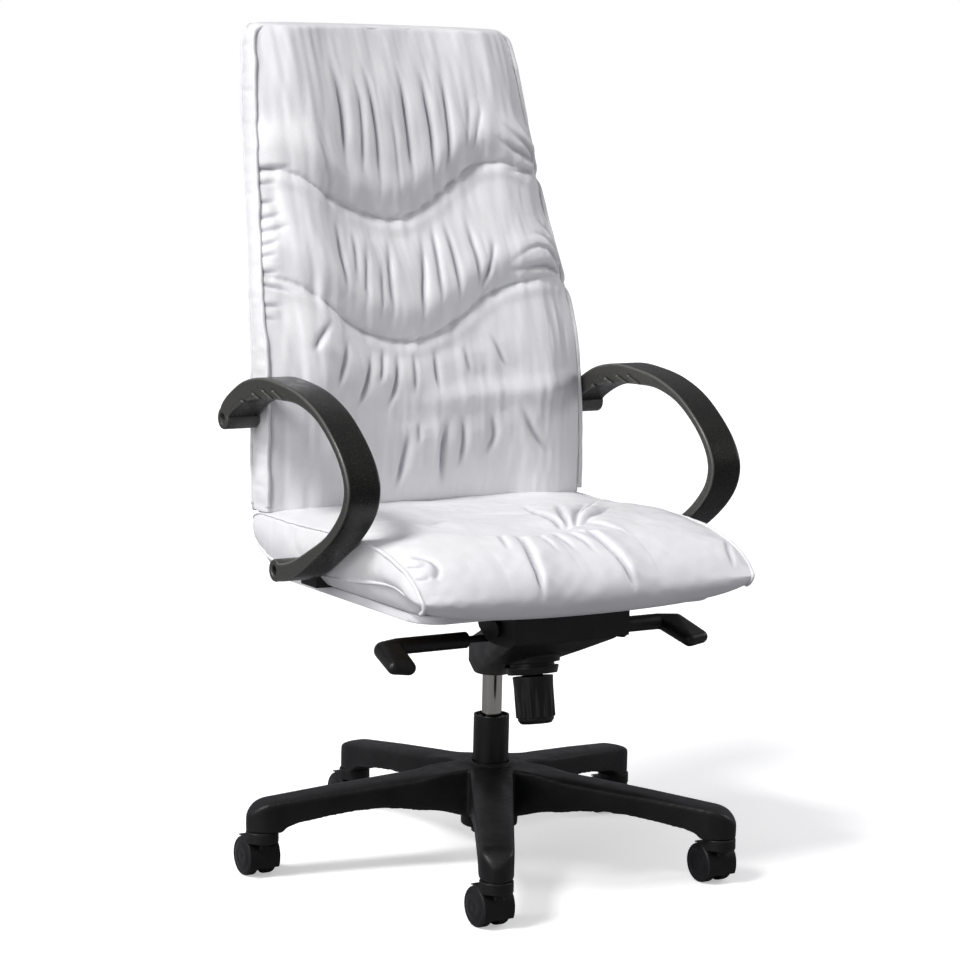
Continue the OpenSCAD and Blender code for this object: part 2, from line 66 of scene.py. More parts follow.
def make_stage():
    sc = bpy.context.scene
    sc.view_settings.view_transform = "Standard"
    sc.view_settings.look = "None"
    w = bpy.data.worlds.new("studio")
    sc.world = w
    w.use_nodes = True
    nt = w.node_tree
    bg = nt.nodes["Background"]
    tc = nt.nodes.new("ShaderNodeTexCoord")
    sep = nt.nodes.new("ShaderNodeSeparateXYZ")
    nt.links.new(tc.outputs["Generated"], sep.inputs[0])
    grade = nt.nodes.new("ShaderNodeValToRGB")
    e = grade.color_ramp.elements
    e[0].position, e[0].color = 0.0, (0.24, 0.24, 0.26, 1)
    e[1].position, e[1].color = 1.0, (0.50, 0.50, 0.52, 1)
    e2 = grade.color_ramp.elements.new(0.35)
    e2.color = (0.27, 0.27, 0.29, 1)
    nt.links.new(sep.outputs["Z"], grade.inputs[0])
    nt.links.new(grade.outputs[0], bg.inputs[0])
    bg.inputs[1].default_value = 0.85
    seen = nt.nodes.new("ShaderNodeBackground")
    seen.inputs[0].default_value = (1, 1, 1, 1)
    seen.inputs[1].default_value = 1.0
    lp = nt.nodes.new("ShaderNodeLightPath")
    mix = nt.nodes.new("ShaderNodeMixShader")
    nt.links.new(lp.outputs["Is Camera Ray"], mix.inputs[0])
    nt.links.new(bg.outputs[0], mix.inputs[1])
    nt.links.new(seen.outputs[0], mix.inputs[2])
    nt.links.new(mix.outputs[0], nt.nodes["World Output"].inputs[0])

    def sun(name, direction, strength, angle, color=(1, 1, 1)):
        li = bpy.data.lights.new(name, "SUN")
        li.energy, li.angle, li.color = strength, math.radians(angle), color
        ob = bpy.data.objects.new(name, li)
        ob.rotation_euler = Vector(direction).to_track_quat("-Z", "Y").to_euler()
        COL.objects.link(ob)

    sun("key_light", (0.60, 0.10, -0.78), 2.3, 16)
    sun("left_fill", (0.95, 0.25, -0.15), 0.75, 50)

    def area(name, loc, target, size, power):
        li = bpy.data.lights.new(name, "AREA")
        li.shape, li.size, li.energy = "SQUARE", size, power
        ob = bpy.data.objects.new(name, li)
        ob.location = loc
        ob.rotation_euler = (Vector(target) - Vector(loc)).to_track_quat("-Z", "Y").to_euler()
        COL.objects.link(ob)

    area("softbox_right", (2.4, -0.9, 1.5), (0, 0, 0.5), 0.7, 16)
    area("softbox_left", (-2.4, 0.2, 1.3), (0, 0, 0.3), 0.9, 14)

    me = bpy.data.meshes.new("floor")
    n, r = 96, 60.0
    vs = [(0, 0, 0)] + [(r * math.cos(2 * math.pi * i / n), r * math.sin(2 * math.pi * i / n), 0) for i in range(n)]
    me.from_pydata(vs, [], [(0, 1 + i, 1 + (i + 1) % n) for i in range(n)])
    floor = bpy.data.objects.new("floor", me)
    COL.objects.link(floor)
    m = bpy.data.materials.new("floor_paper")
    m.use_nodes = True
    nt = m.node_tree
    b = nt.nodes["Principled BSDF"]
    b.inputs["Base Color"].default_value = (0.86, 0.86, 0.86, 1)
    b.inputs["Roughness"].default_value = 0.95
    b.inputs["Specular IOR Level"].default_value = 0.1
    b.inputs["Emission Color"].default_value = (1, 1, 1, 1)
    b.inputs["Emission Strength"].default_value = 0.42
    dim = nt.nodes.new("ShaderNodeBsdfDiffuse")
    dim.inputs[0].default_value = (0.24, 0.24, 0.25, 1)
    lp = nt.nodes.new("ShaderNodeLightPath")
    mix = nt.nodes.new("ShaderNodeMixShader")
    nt.links.new(lp.outputs["Is Camera Ray"], mix.inputs[0])
    nt.links.new(dim.outputs[0], mix.inputs[1])
    nt.links.new(b.outputs[0], mix.inputs[2])
    nt.links.new(mix.outputs[0], nt.nodes["Material Output"].inputs[0])
    me.materials.append(m)


make_camera()
make_stage()


# ---------------------------------------------------------------- numbers and shapes
def catmull(points, n):
    """A smooth curve through the points, n steps a span."""
    p = np.array(points, float)
    p = np.vstack([2 * p[0] - p[1], p, 2 * p[-1] - p[-2]])
    out = []
    for i in range(1, len(p) - 2):
        a, b, c, d = p[i - 1], p[i], p[i + 1], p[i + 2]
        for t in np.arange(n) / n:
            out.append(0.5 * (2 * b + (c - a) * t + (2 * a - 5 * b + 4 * c - d) * t * t + (3 * b - a - 3 * c + d) * t ** 3))
    out.append(p[-2])
    return np.array(out)


def smooth_interp(points):
    """y of x, smooth, from (x, y) points in rising x."""
    c = catmull(points, 12)
    order = np.argsort(c[:, 0], kind="stable")
    xs, ys = c[order, 0], c[order, 1]
    return lambda x: np.interp(x, xs, ys)


def ramp(a, b, x):
    t = np.clip((np.asarray(x, float) - a) / (b - a), 0, 1)
    return t * t * (3 - 2 * t)


def noise2(x, y, seed=0):
    """Smooth seeded value noise, -1 to 1."""
    x, y = np.asarray(x, float), np.asarray(y, float)
    xi, yi = np.floor(x), np.floor(y)
    fx, fy = x - xi, y - yi
    fx, fy = fx * fx * (3 - 2 * fx), fy * fy * (3 - 2 * fy)

    def h(i, j):
        v = np.sin(i * 127.1 + j * 311.7 + seed * 74.7) * 43758.5453
        return (v - np.floor(v)) * 2 - 1

    a = h(xi, yi) * (1 - fx) + h(xi + 1, yi) * fx
    b = h(xi, yi + 1) * (1 - fx) + h(xi + 1, yi + 1) * fx
    return a * (1 - fy) + b * fy


def resample(points, step):
    p = np.array(points, float)
    d = np.r_[0, np.cumsum(np.linalg.norm(np.diff(p, axis=0), axis=1))]
    n = max(2, int(round(d[-1] / step)) + 1)
    s = np.linspace(0, d[-1], n)
    return np.stack([np.interp(s, d, p[:, k]) for k in range(p.shape[1])], 1)


def sharpen(me, angle=35):
    """Edges bent more than this stay crisp; the rest shade smooth."""
    bm = bmesh.new()
    bm.from_mesh(me)
    lim = math.radians(angle)
    for f in bm.faces:
        f.smooth = True
    for e in bm.edges:
        if len(e.link_faces) == 2:
            e.smooth = e.calc_face_angle(0) < lim
    bm.to_mesh(me)
    bm.free()


def make(name, verts, faces, mats, scale=MM, sharp=None):
    me = bpy.data.meshes.new(name)
    me.from_pydata((np.asarray(verts, float) * scale).tolist(), [], [list(map(int, f)) for f in faces])
    me.validate()
    bm = bmesh.new()
    bm.from_mesh(me)
    bmesh.ops.recalc_face_normals(bm, faces=bm.faces)
    bm.to_mesh(me)
    bm.free()
    me.polygons.foreach_set("use_smooth", [True] * len(me.polygons))
    if sharp:
        sharpen(me, sharp)
    for m in (mats if isinstance(mats, (list, tuple)) else [mats]):
        me.materials.append(m)
    ob = bpy.data.objects.new(name, me)
    COL.objects.link(ob)
    return ob


def coords(me):
    co = np.zeros(len(me.vertices) * 3, np.float32)
    me.vertices.foreach_get("co", co)
    return co.reshape(-1, 3).astype(float)


def normals(me):
    no = np.zeros(len(me.vertices) * 3, np.float32)
    me.vertices.foreach_get("normal", no)
    return no.reshape(-1, 3).astype(float)


def put(me, co):
    me.vertices.foreach_set("co", np.asarray(co, np.float32).ravel())
    me.update()


def attribute(me, name, values):
    a = me.attributes.get(name) or me.attributes.new(name, "FLOAT", "POINT")
    a.data.foreach_set("value", np.asarray(values, np.float32))


def bake_modifiers(ob):
    bpy.context.view_layer.update()
    dg = bpy.context.evaluated_depsgraph_get()
    me = bpy.data.meshes.new_from_object(ob.evaluated_get(dg))
    ob.modifiers.clear()
    ob.data = me
    return ob


def tube(path, radius, sides=10, closed=False, radii=None):
    """Verts and faces of a round tube along a path."""
    p = np.array(path, float)
    n = len(p)
    if closed:
        t = np.roll(p, -1, 0) - np.roll(p, 1, 0)
    else:
        t = np.gradient(p, axis=0)
    t /= np.linalg.norm(t, axis=1)[:, None] + 1e-12
    ref = np.array([0.0, 0.0, 1.0]) if abs(t[0][2]) < 0.9 else np.array([1.0, 0.0, 0.0])
    u = np.cross(t[0], ref)
    u /= np.linalg.norm(u)
    us = [u]
    for i in range(1, n):
        u = us[-1] - np.dot(us[-1], t[i]) * t[i]
        u /= np.linalg.norm(u)
        us.append(u)
    us = np.array(us)
    vs = np.cross(t, us)
    r = np.full(n, radius, float) if radii is None else np.asarray(radii, float)
    ang = np.arange(sides) * 2 * np.pi / sides
    v = p[:, None, :] + r[:, None, None] * (np.cos(ang)[None, :, None] * us[:, None, :] + np.sin(ang)[None, :, None] * vs[:, None, :])
    v = v.reshape(-1, 3)
    faces = []
    for i in range(n if closed else n - 1):
        j = (i + 1) % n
        for k in range(sides):
            k2 = (k + 1) % sides
            faces.append((i * sides + k, i * sides + k2, j * sides + k2, j * sides + k))
    if not closed:
        faces.append(tuple(range(sides))[::-1])
        faces.append(tuple((n - 1) * sides + k for k in range(sides)))
    return v, faces


def join_parts(parts):
    vs, fs, off = [], [], 0
    for v, f in parts:
        vs.append(np.asarray(v, float))
        fs += [tuple(int(i) + off for i in q) for q in f]
        off += len(v)
    return np.vstack(vs), fs


def lathe(profile, axis_point, axis="X", sides=72, flip=False):
    """Turns a closed (or open) profile of (along, radius) about an axis through the point."""
    pr = np.array(profile, float)
    ang = np.arange(sides) * 2 * np.pi / sides
    along, rad = pr[:, 0], pr[:, 1]
    a = (rad[:, None] * np.cos(ang)[None, :])
    b = (rad[:, None] * np.sin(ang)[None, :])
    l = np.repeat(along[:, None], sides, 1)
    if axis == "X":
        v = np.stack([l, a, b], -1)
    elif axis == "Y":
        v = np.stack([a, l, b], -1)
    else:
        v = np.stack([a, b, l], -1)
    v = v.reshape(-1, 3) + np.array(axis_point, float)
    faces = []
    n = len(pr)
    for i in range(n - 1):
        for k in range(sides):
            k2 = (k + 1) % sides
            faces.append((i * sides + k, i * sides + k2, (i + 1) * sides + k2, (i + 1) * sides + k))
    for i in (0, n - 1):
        if rad[i] > 1e-6:
            faces.append(tuple(i * sides + k for k in range(sides)))
    return v, faces


def remesh_copy(node, name, voxel, mats, iterations=5, shift=None, source=None):
    """A copy of a CAD node with its edges softened the way a moulding or casting has them."""
    me = (source or NODES[node].data).copy()
    bm = bmesh.new()
    bm.from_mesh(me)
    bmesh.ops.remove_doubles(bm, verts=bm.verts, dist=2e-6)
    bm.to_mesh(me)
    bm.free()
    me.materials.clear()
    ob = bpy.data.objects.new(name, me)
    COL.objects.link(ob)
    r = ob.modifiers.new("remesh", "REMESH")
    r.mode, r.voxel_size = "VOXEL", voxel * MM
    s = ob.modifiers.new("soften", "SMOOTH")
    s.factor, s.iterations = 0.5, iterations
    bake_modifiers(ob)
    ob.data.polygons.foreach_set("use_smooth", [True] * len(ob.data.polygons))
    for m in (mats if isinstance(mats, (list, tuple)) else [mats]):
        ob.data.materials.append(m)
    return ob


# ---------------------------------------------------------------- materials
class Mat:
    """A small writer of procedural materials on object coordinates."""

    def __init__(self, name, **sockets):
        self.m = bpy.data.materials.new(name)
        self.m.use_nodes = True
        self.nt = self.m.node_tree
        self.b = self.nt.nodes["Principled BSDF"]
        self.tc = self.nt.nodes.new("ShaderNodeTexCoord")
        for k, v in sockets.items():
            key = {"rough": "Roughness", "metal": "Metallic", "spec": "Specular IOR Level", "coat": "Coat Weight",
                   "coat_rough": "Coat Roughness", "sheen": "Sheen Weight", "sheen_rough": "Sheen Roughness"}[k]
            self.b.inputs[key].default_value = v
        self.height = None

    def new(self, kind, **props):
        n = self.nt.nodes.new(kind)
        for k, v in props.items():
            setattr(n, k, v)
        return n

    def link(self, a, b):
        self.nt.links.new(a, b)

    def coord(self, scale=(1, 1, 1)):
        mp = self.new("ShaderNodeMapping")
        mp.inputs["Scale"].default_value = scale
        self.link(self.tc.outputs["Object"], mp.inputs["Vector"])
        return mp.outputs[0]

    def noise(self, scale, detail=3, rough=0.55, stretch=(1, 1, 1), distortion=0.0):
        n = self.new("ShaderNodeTexNoise")
        n.inputs["Scale"].default_value = scale
        n.inputs["Detail"].default_value = detail
        n.inputs["Roughness"].default_value = rough
        n.inputs["Distortion"].default_value = distortion
        self.link(self.coord(stretch), n.inputs["Vector"])
        return n.outputs[0]

    def voronoi(self, scale, feature="F1", warp=0.0, warp_scale=40.0):
        n = self.new("ShaderNodeTexVoronoi", feature=feature)
        n.inputs["Scale"].default_value = scale
        vec = self.coord()
        if warp:
            nz = self.new("ShaderNodeTexNoise")
            nz.inputs["Scale"].default_value = warp_scale
            self.link(vec, nz.inputs["Vector"])
            mix = self.new("ShaderNodeVectorMath", operation="MULTIPLY_ADD")
            mix.inputs[1].default_value = (warp, warp, warp)
            self.link(nz.outputs["Color"], mix.inputs[0])
            self.link(vec, mix.inputs[2])
            vec = mix.outputs[0]
        self.link(vec, n.inputs["Vector"])
        return n.outputs["Distance"]

    def span(self, value, lo, hi, a=0.0, b=1.0):
        n = self.new("ShaderNodeMapRange")
        n.inputs["From Min"].default_value = lo
        n.inputs["From Max"].default_value = hi
        n.inputs["To Min"].default_value = a
        n.inputs["To Max"].default_value = b
        self.link(value, n.inputs["Value"])
        return n.outputs[0]

    def attr(self, name):
        n = self.new("ShaderNodeAttribute", attribute_name=name)
        return n.outputs["Fac"]

    def mix(self, fac, a, b):
        n = self.new("ShaderNodeMix", data_type="RGBA")
        for sock, v in ((n.inputs[0], fac), (n.inputs[6], a), (n.inputs[7], b)):
            if isinstance(v, bpy.types.NodeSocket):
                self.link(v, sock)
            elif isinstance(v, (int, float)):
                sock.default_value = v
            else:
                sock.default_value = tuple(v) + (1,) if len(v) == 3 else v
        return n.outputs[2]

    def color(self, out):
        self.link(out, self.b.inputs["Base Color"])

    def rough(self, out):
        self.link(out, self.b.inputs["Roughness"])

    def bump(self, value, strength, distance):
        n = self.new("ShaderNodeBump")
        n.inputs["Strength"].default_value = strength
        n.inputs["Distance"].default_value = distance
        self.link(value, n.inputs["Height"])
        if self.height is not None:
            self.link(self.height, n.inputs["Normal"])
        self.height = n.outputs[0]
        self.link(self.height, self.b.inputs["Normal"])
        return self

    def round_edges(self, radius):
        n = self.new("ShaderNodeBevel", samples=4)
        n.inputs["Radius"].default_value = radius
        self.height = n.outputs[0]
        self.link(self.height, self.b.inputs["Normal"])
        return self


def leather(name, seams=True):
    m = Mat(name, spec=0.42, coat=0.06, coat_rough=0.35)
    base = m.mix(m.span(m.noise(9, 4), 0.3, 0.7), (0.87, 0.87, 0.875), (0.80, 0.80, 0.815))
    pores = m.voronoi(520, "DISTANCE_TO_EDGE", 0.004, 60)
    base = m.mix(m.span(pores, 0.0, 0.16, 0.30, 0.0), base, (0.66, 0.65, 0.69))
    # painted shade: fold valleys and seam lines are tinted lilac grey by the painted crease shade mask
    if seams:
        base = m.mix(m.span(m.attr("painted_crease_shade"), 0.0, 1.0, 0.0, 0.85), base, (0.40, 0.39, 0.44))
    m.color(base)
    m.rough(m.span(m.noise(30, 4), 0.3, 0.7, 0.36, 0.50))
    m.bump(m.noise(55, 5, 0.6), 0.25, 0.0012)
    m.bump(m.voronoi(75, "DISTANCE_TO_EDGE", 0.02, 14), 0.12, 0.0006)
    m.bump(m.voronoi(520, "DISTANCE_TO_EDGE", 0.004, 60), 0.35, 0.00025)
    m.bump(m.noise(1400, 2), 0.15, 0.0001)
    return m.m


def thread(name):
    m = Mat(name, rough=0.6, spec=0.4, sheen=0.2)
    m.color(m.mix(m.span(m.noise(300, 2), 0.35, 0.65), (0.80, 0.80, 0.80), (0.66, 0.66, 0.68)))
    m.bump(m.noise(1800, 2, stretch=(1, 1, 0.3)), 0.5, 0.0002)
    return m.m


def moulded(name, dark, light, rough=(0.38, 0.52), grain=900, wear_and_highlight=0.35, spec=0.5, bevel=None, speckle=0.0):
    """Moulded plastic: fine grain, faint flow marks, paler edges where an edge map says so: worn edges on most parts,
    painted highlight lines along the arm rims.
    """
    m = Mat(name, spec=spec)
    if bevel:
        m.round_edges(bevel)
    c = m.mix(m.span(m.noise(14, 4), 0.35, 0.68), dark, light)
    if speckle:
        spots = m.span(m.noise(650, 2, 0.7), 0.56, 0.66, 0.0, speckle)
        c = m.mix(spots, c, (0.24, 0.25, 0.23))
    dust = m.span(m.noise(220, 3, 0.7), 0.56, 0.75, 0.0, 0.30)
    c = m.mix(dust, c, tuple(min(1.0, v * 2.0 + 0.006) for v in light))
    # paler along the edge map: real wear on most parts, a painted highlight along the arm rims
    c = m.mix(m.span(m.attr("edge"), 0.0, 1.0, 0.0, wear_and_highlight), c, tuple(min(1.0, v * 4 + (0.09 if speckle else 0.03)) for v in light))
    m.color(c)
    m.rough(m.span(m.noise(60, 4), 0.3, 0.7, rough[0], rough[1]))
    m.bump(m.noise(grain, 2), 0.30, 0.00025)
    m.bump(m.noise(26, 3), 0.10, 0.0012)
    return m.m


def painted(name, base, rough=(0.34, 0.46), bevel=0.0012):
    m = Mat(name, spec=0.28, coat=0.04, coat_rough=0.3)
    m.round_edges(bevel)
    c = m.mix(m.span(m.noise(18, 4), 0.35, 0.65), base, tuple(v * 1.6 + 0.004 for v in base))
    scratch = m.span(m.noise(70, 2, 0.5, stretch=(1, 14, 14)), 0.66, 0.72, 0.0, 0.35)
    c = m.mix(scratch, c, (0.045, 0.045, 0.045))
    m.color(c)
    m.rough(m.span(m.noise(40, 4), 0.3, 0.7, rough[0], rough[1]))
    m.bump(m.noise(420, 3, 0.6), 0.22, 0.0004)
    return m.m


def metal(name, base, rough, brush=(1, 1, 1), bevel=0.0006, stain=0.25):
    m = Mat(name, metal=1.0)
    m.round_edges(bevel)
    c = m.mix(m.span(m.noise(22, 4), 0.35, 0.7, 0.0, stain), base, tuple(v * 0.66 for v in base))
    m.color(c)
    m.rough(m.span(m.noise(90, 4, 0.6, stretch=brush), 0.3, 0.7, rough * 0.7, rough * 1.5))
    m.bump(m.noise(500, 3, 0.6, stretch=brush), 0.06, 0.0003)
    return m.m


def rubber(name, base=(0.018, 0.018, 0.019)):
    m = Mat(name, spec=0.35)
    c = m.mix(m.span(m.noise(25, 4), 0.35, 0.7), base, tuple(v * 2.2 + 0.006 for v in base))
    m.color(c)
    m.rough(m.span(m.noise(60, 4), 0.3, 0.7, 0.55, 0.78))
    m.bump(m.noise(800, 2), 0.35, 0.0003)
    return m.m


def wheel_plastic(name, worn_from):
    """Glossy nylon, scuffed dull on the tread."""
    m = Mat(name, spec=0.35)
    c = m.mix(m.span(m.noise(40, 4), 0.35, 0.7), (0.005, 0.005, 0.0055), (0.011, 0.011, 0.012))
    scuff = m.span(m.noise(260, 4, 0.7), 0.45, 0.7, 0.0, 0.8)
    tread = m.attr("edge")
    k = m.new("ShaderNodeMath", operation="MULTIPLY")
    m.link(scuff, k.inputs[0])
    m.link(tread, k.inputs[1])
    c = m.mix(k.outputs[0], c, (0.045, 0.043, 0.041))
    m.color(c)
    m.rough(m.span(tread, 0.0, 1.0, 0.27, 0.62))
    m.bump(m.noise(500, 3), 0.12, 0.0003)
    return m.m


def wood(name):
    m = Mat(name, spec=0.3)
    g = m.noise(60, 5, 0.6, stretch=(0.12, 1, 1), distortion=0.6)
    m.color(m.mix(m.span(g, 0.35, 0.65), (0.50, 0.34, 0.19), (0.33, 0.20, 0.10)))
    m.rough(m.span(g, 0.3, 0.7, 0.5, 0.7))
    m.bump(m.noise(400, 3, stretch=(0.08, 1, 1)), 0.25, 0.0004)
    return m.m


LEATHER = leather("white_leather_hide")
LEATHER_TRIM = leather("white_leather_piping", seams=False)
THREAD = thread("seam_thread")
# the arm's edge map is a pair of painted highlight lines along its rims, drawn strongly pale here
ARM = moulded("arm_charcoal", (0.0035, 0.0038, 0.003), (0.009, 0.0085, 0.0065), (0.24, 0.34), grain=750, wear_and_highlight=0.9, spec=0.30, speckle=0.14)
NYLON = moulded("base_nylon", (0.0045, 0.0045, 0.005), (0.010, 0.010, 0.0105), (0.36, 0.48), grain=1000, wear_and_highlight=0.22, spec=0.25)
NYLON_CAD = moulded("black_nylon_plain", (0.005, 0.005, 0.0055), (0.011, 0.011, 0.0115), (0.38, 0.50), grain=1000, spec=0.25, bevel=0.0015)
ACETAL = moulded("black_acetal_plain", (0.006, 0.006, 0.006), (0.012, 0.012, 0.0125), (0.26, 0.38), grain=600, spec=0.3, bevel=0.0008)
KNOB = moulded("knob_plastic", (0.005, 0.005, 0.005), (0.012, 0.012, 0.012), (0.32, 0.44), grain=700, wear_and_highlight=0.25, spec=0.3)
HANDLE = moulded("handle_plastic", (0.005, 0.0048, 0.0048), (0.012, 0.0115, 0.011), (0.30, 0.42), grain=700, wear_and_highlight=0.2, spec=0.3)
STEEL = painted("mechanism_paint", (0.0065, 0.0062, 0.0058))
STEEL_TUBE = painted("column_paint", (0.005, 0.005, 0.0055), (0.24, 0.36))
WHEEL = wheel_plastic("wheel_nylon", 25)
RUBBER = rubber("black_rubber_plain")
PLATED = metal("zinc_plated", (0.58, 0.57, 0.53), 0.32)
CHROME = metal("chrome_plated", (0.58, 0.56, 0.52), 0.14, brush=(9, 9, 0.4), stain=0.35)
WOOD = wood("plywood_grain")
CAD_MATERIAL = {
    "column_tube": STEEL_TUBE, "guide_bush": ACETAL, "thrust_bearing": PLATED, "bump_stop": RUBBER, "caster_stems": PLATED,
    "piston_rod": CHROME, "rod_clip": PLATED, "gas_cylinder": CHROME, "mechanism_housing": STEEL, "spring_cup": ACETAL,
    "pivot_bushes": ACETAL, "tension_spring": PLATED, "valve_button": RUBBER, "spring_nut": PLATED, "tension_bolt": PLATED,
    "height_lever_rod": STEEL, "lock_lever_rod": STEEL, "seat_plate": STEEL, "pivot_shaft": STEEL, "seat_bolts": PLATED,
    "seat_pan": WOOD, "back_shell": NYLON_CAD, "arm_lugs": STEEL, "arm_screws": PLATED, "base_star": NYLON_CAD,
    "tension_knob": KNOB, "height_lever_handle": HANDLE, "lock_lever_handle": HANDLE, "armrest_left": ARM, "armrest_right": ARM,
    "seat_cushion": LEATHER, "back_cushion": LEATHER, "back_cover": LEATHER,
}
for _n, _o in NODES.items():
    _m = CAD_MATERIAL.get(_n)
    if _m is None:
        _m = PLATED if "axle" in _n else (NYLON_CAD if "hood" in _n else WHEEL)
    for _s in _o.material_slots:
        _s.material = _m


# ---------------------------------------------------------------- upholstery tools
def crease_lines(px, pz, lines, default=(3.0, 4.0, 9.0)):
    """Height in mm of sewn-in folds: a sharp valley on the line, a lit ridge beside it. Also a painted shade mask: how
    deep each point is in a valley, to be darkened in the colour.
    """
    h = np.zeros_like(px)
    dark = np.zeros_like(px)
    for ln in lines:
        pts = np.array(ln["p"], float)
        amp, wv, wr = ln.get("a", default[0]), ln.get("v", default[1]), ln.get("r", default[2])
        side = ln.get("side", 1)
        if len(pts) > 2:
            pts = catmull(pts, 4)
        seg = np.diff(pts, axis=0)
        ln_seg = np.hypot(seg[:, 0], seg[:, 1])
        cum = np.r_[0, np.cumsum(ln_seg)]
        total = cum[-1]
        pad = 3.5 * max(wv, wr) + 4
        sel = np.where((px > pts[:, 0].min() - pad) & (px < pts[:, 0].max() + pad) & (pz > pts[:, 1].min() - pad) & (pz < pts[:, 1].max() + pad))[0]
        if not len(sel):
            continue
        x, z = px[sel], pz[sel]
        best = np.full(len(sel), 1e9)
        sd = np.zeros(len(sel))
        tt = np.zeros(len(sel))
        for k in range(len(seg)):
            dx, dz = x - pts[k, 0], z - pts[k, 1]
            t = np.clip((dx * seg[k, 0] + dz * seg[k, 1]) / (ln_seg[k] ** 2 + 1e-9), 0, 1)
            ex, ez = dx - t * seg[k, 0], dz - t * seg[k, 1]
            dist = np.hypot(ex, ez)
            s = np.sign(seg[k, 0] * dz - seg[k, 1] * dx)
            better = dist < best
            best = np.where(better, dist, best)
            sd = np.where(better, s * dist, sd)
            tt = np.where(better, (cum[k] + t * ln_seg[k]) / total, tt)
        sd = sd * side
        tp = ln.get("taper", (0.3, 0.3))
        env = ramp(0, max(tp[0], 1e-3), tt) * ramp(0, max(tp[1], 1e-3), 1 - tt)
        beyond = np.exp(-(np.clip(best - np.abs(sd), 0, None) / 4) ** 2)
        valley = np.exp(-(sd / wv) ** 2)
        ridge = np.where(sd > 0, (sd / wr) * np.exp(1 - np.clip(sd, 0, None) / wr), 0.0)
        lee = np.where(sd < 0, 0.35 * (-sd / wr) * np.exp(1 + np.clip(sd, None, 0) / wr), 0.0)
        e = env * beyond * amp
        h[sel] += e * (-0.9 * valley + 0.85 * ridge + lee)
        # painted shade: the valley depth that darkens the leather's colour
        dark[sel] = np.maximum(dark[sel], env * np.exp(-(sd / (wv * 0.75)) ** 2) * min(1.0, amp / 3.0))
    return h, dark


def rings_to_mesh(rings, nu, nk):
    """Closed rings: nu+1 points across the face, nk down one cheek, nu+1 across the back, nk up the other. Capped at both ends."""
    r, m = rings.shape[:2]
    faces = []
    idx = np.arange(r * m).reshape(r, m)
    for j in range(r - 1):
        a, b = idx[j], idx[j + 1]
        a2, b2 = np.roll(a, -1), np.roll(b, -1)
        faces += np.stack([a, a2, b2, b], 1).tolist()
    for j in (0, r - 1):
        ring = idx[j]
        front = ring[: nu + 1]
        back = ring[nu + 1 + nk: 2 * (nu + 1) + nk][::-1]
        for i in range(nu):
            faces.append([front[i], front[i + 1], back[i + 1], back[i]])
        right = [front[nu]] + list(ring[nu + 1: nu + 1 + nk]) + [back[nu]]
        left = [back[0]] + list(ring[2 * (nu + 1) + nk:]) + [front[0]]
        faces.append(right)
        faces.append(left)
    return rings.reshape(-1, 3), faces


def puff(ob, pinned, pressure=4.0, cap=12.0, frames=20, stiff=12.0, bend=1.0, grow=0.0):
    """Blows the closed cover up as cloth, held at its seams, and keeps the shape. Every point moves no further than cap (mm)."""
    rest = coords(ob.data)
    g = ob.vertex_groups.new(name="seams")
    for w in np.unique(np.round(pinned, 2)):
        if w > 0:
            g.add(np.where(np.round(pinned, 2) == w)[0].tolist(), float(w), "REPLACE")
    c = ob.modifiers.new("cloth", "CLOTH")
    s = c.settings
    s.quality = 5
    s.mass = 0.4
    s.tension_stiffness = s.compression_stiffness = stiff
    s.shear_stiffness = stiff * 0.5
    s.bending_stiffness = bend
    s.tension_damping = s.compression_damping = s.shear_damping = 8
    s.air_damping = 3
    s.vertex_group_mass = "seams"
    s.pin_stiffness = 1.0
    s.use_pressure = True
    s.uniform_pressure_force = pressure
    s.shrink_min = -grow
    s.effector_weights.gravity = 0
    c.collision_settings.use_collision = False
    c.collision_settings.use_self_collision = False
    c.point_cache.frame_start, c.point_cache.frame_end = 1, frames
    sc = bpy.context.scene
    for f in range(1, frames + 1):
        sc.frame_set(f)
    dg = bpy.context.evaluated_depsgraph_get()
    me = ob.evaluated_get(dg).to_mesh()
    now = coords(me)
    ob.evaluated_get(dg).to_mesh_clear()
    ob.modifiers.clear()
    ob.vertex_groups.clear()
    sc.frame_set(1)
    d = now - rest
    length = np.linalg.norm(d, axis=1)
    k = np.minimum(1, cap * MM / (length + 1e-12))
    put(ob.data, rest + d * k[:, None])


def subdivide(ob, levels=1):
    s = ob.modifiers.new("sub", "SUBSURF")
    s.levels = s.render_levels = levels
    mats = [sl.material for sl in ob.material_slots]
    bake_modifiers(ob)
    ob.data.polygons.foreach_set("use_smooth", [True] * len(ob.data.polygons))
    if not ob.data.materials:
        for m in mats:
            ob.data.materials.append(m)


# ---------------------------------------------------------------- back rest
front_edge = smooth_interp([(470, 186), (500, 186), (560, 188), (640, 192), (720, 204), (800, 232), (900, 268), (1000, 298), (1100, 324), (1153, 342), (1170, 347)])
rear_edge = smooth_interp([(470, 245), (478, 246), (560, 250), (640, 256), (720, 262), (800, 286), (900, 322), (1000, 354), (1100, 377), (1157, 388), (1170, 391)])
half_width = smooth_interp([(470, 259), (560, 260), (640, 258), (760, 255), (850, 244), (946, 233), (1050, 223), (1120, 216), (1145, 212), (1160, 203)])
arc_high = smooth_interp([(-240, 955), (-209, 958), (-173, 947), (-142, 925), (-100, 904), (-66, 894), (-30, 888), (6, 896), (46, 918), (83, 944), (120, 966), (160, 970), (200, 957), (240, 948)])
arc_low = smooth_interp([(-260, 815), (-209, 802), (-175, 782), (-145, 757), (-118, 739), (-80, 725), (-44, 718), (-12, 720), (22, 731), (60, 750), (98, 775), (145, 795), (195, 803), (260, 800)])
BACK_TOP, BACK_FOOT = 1158.0, 486.0


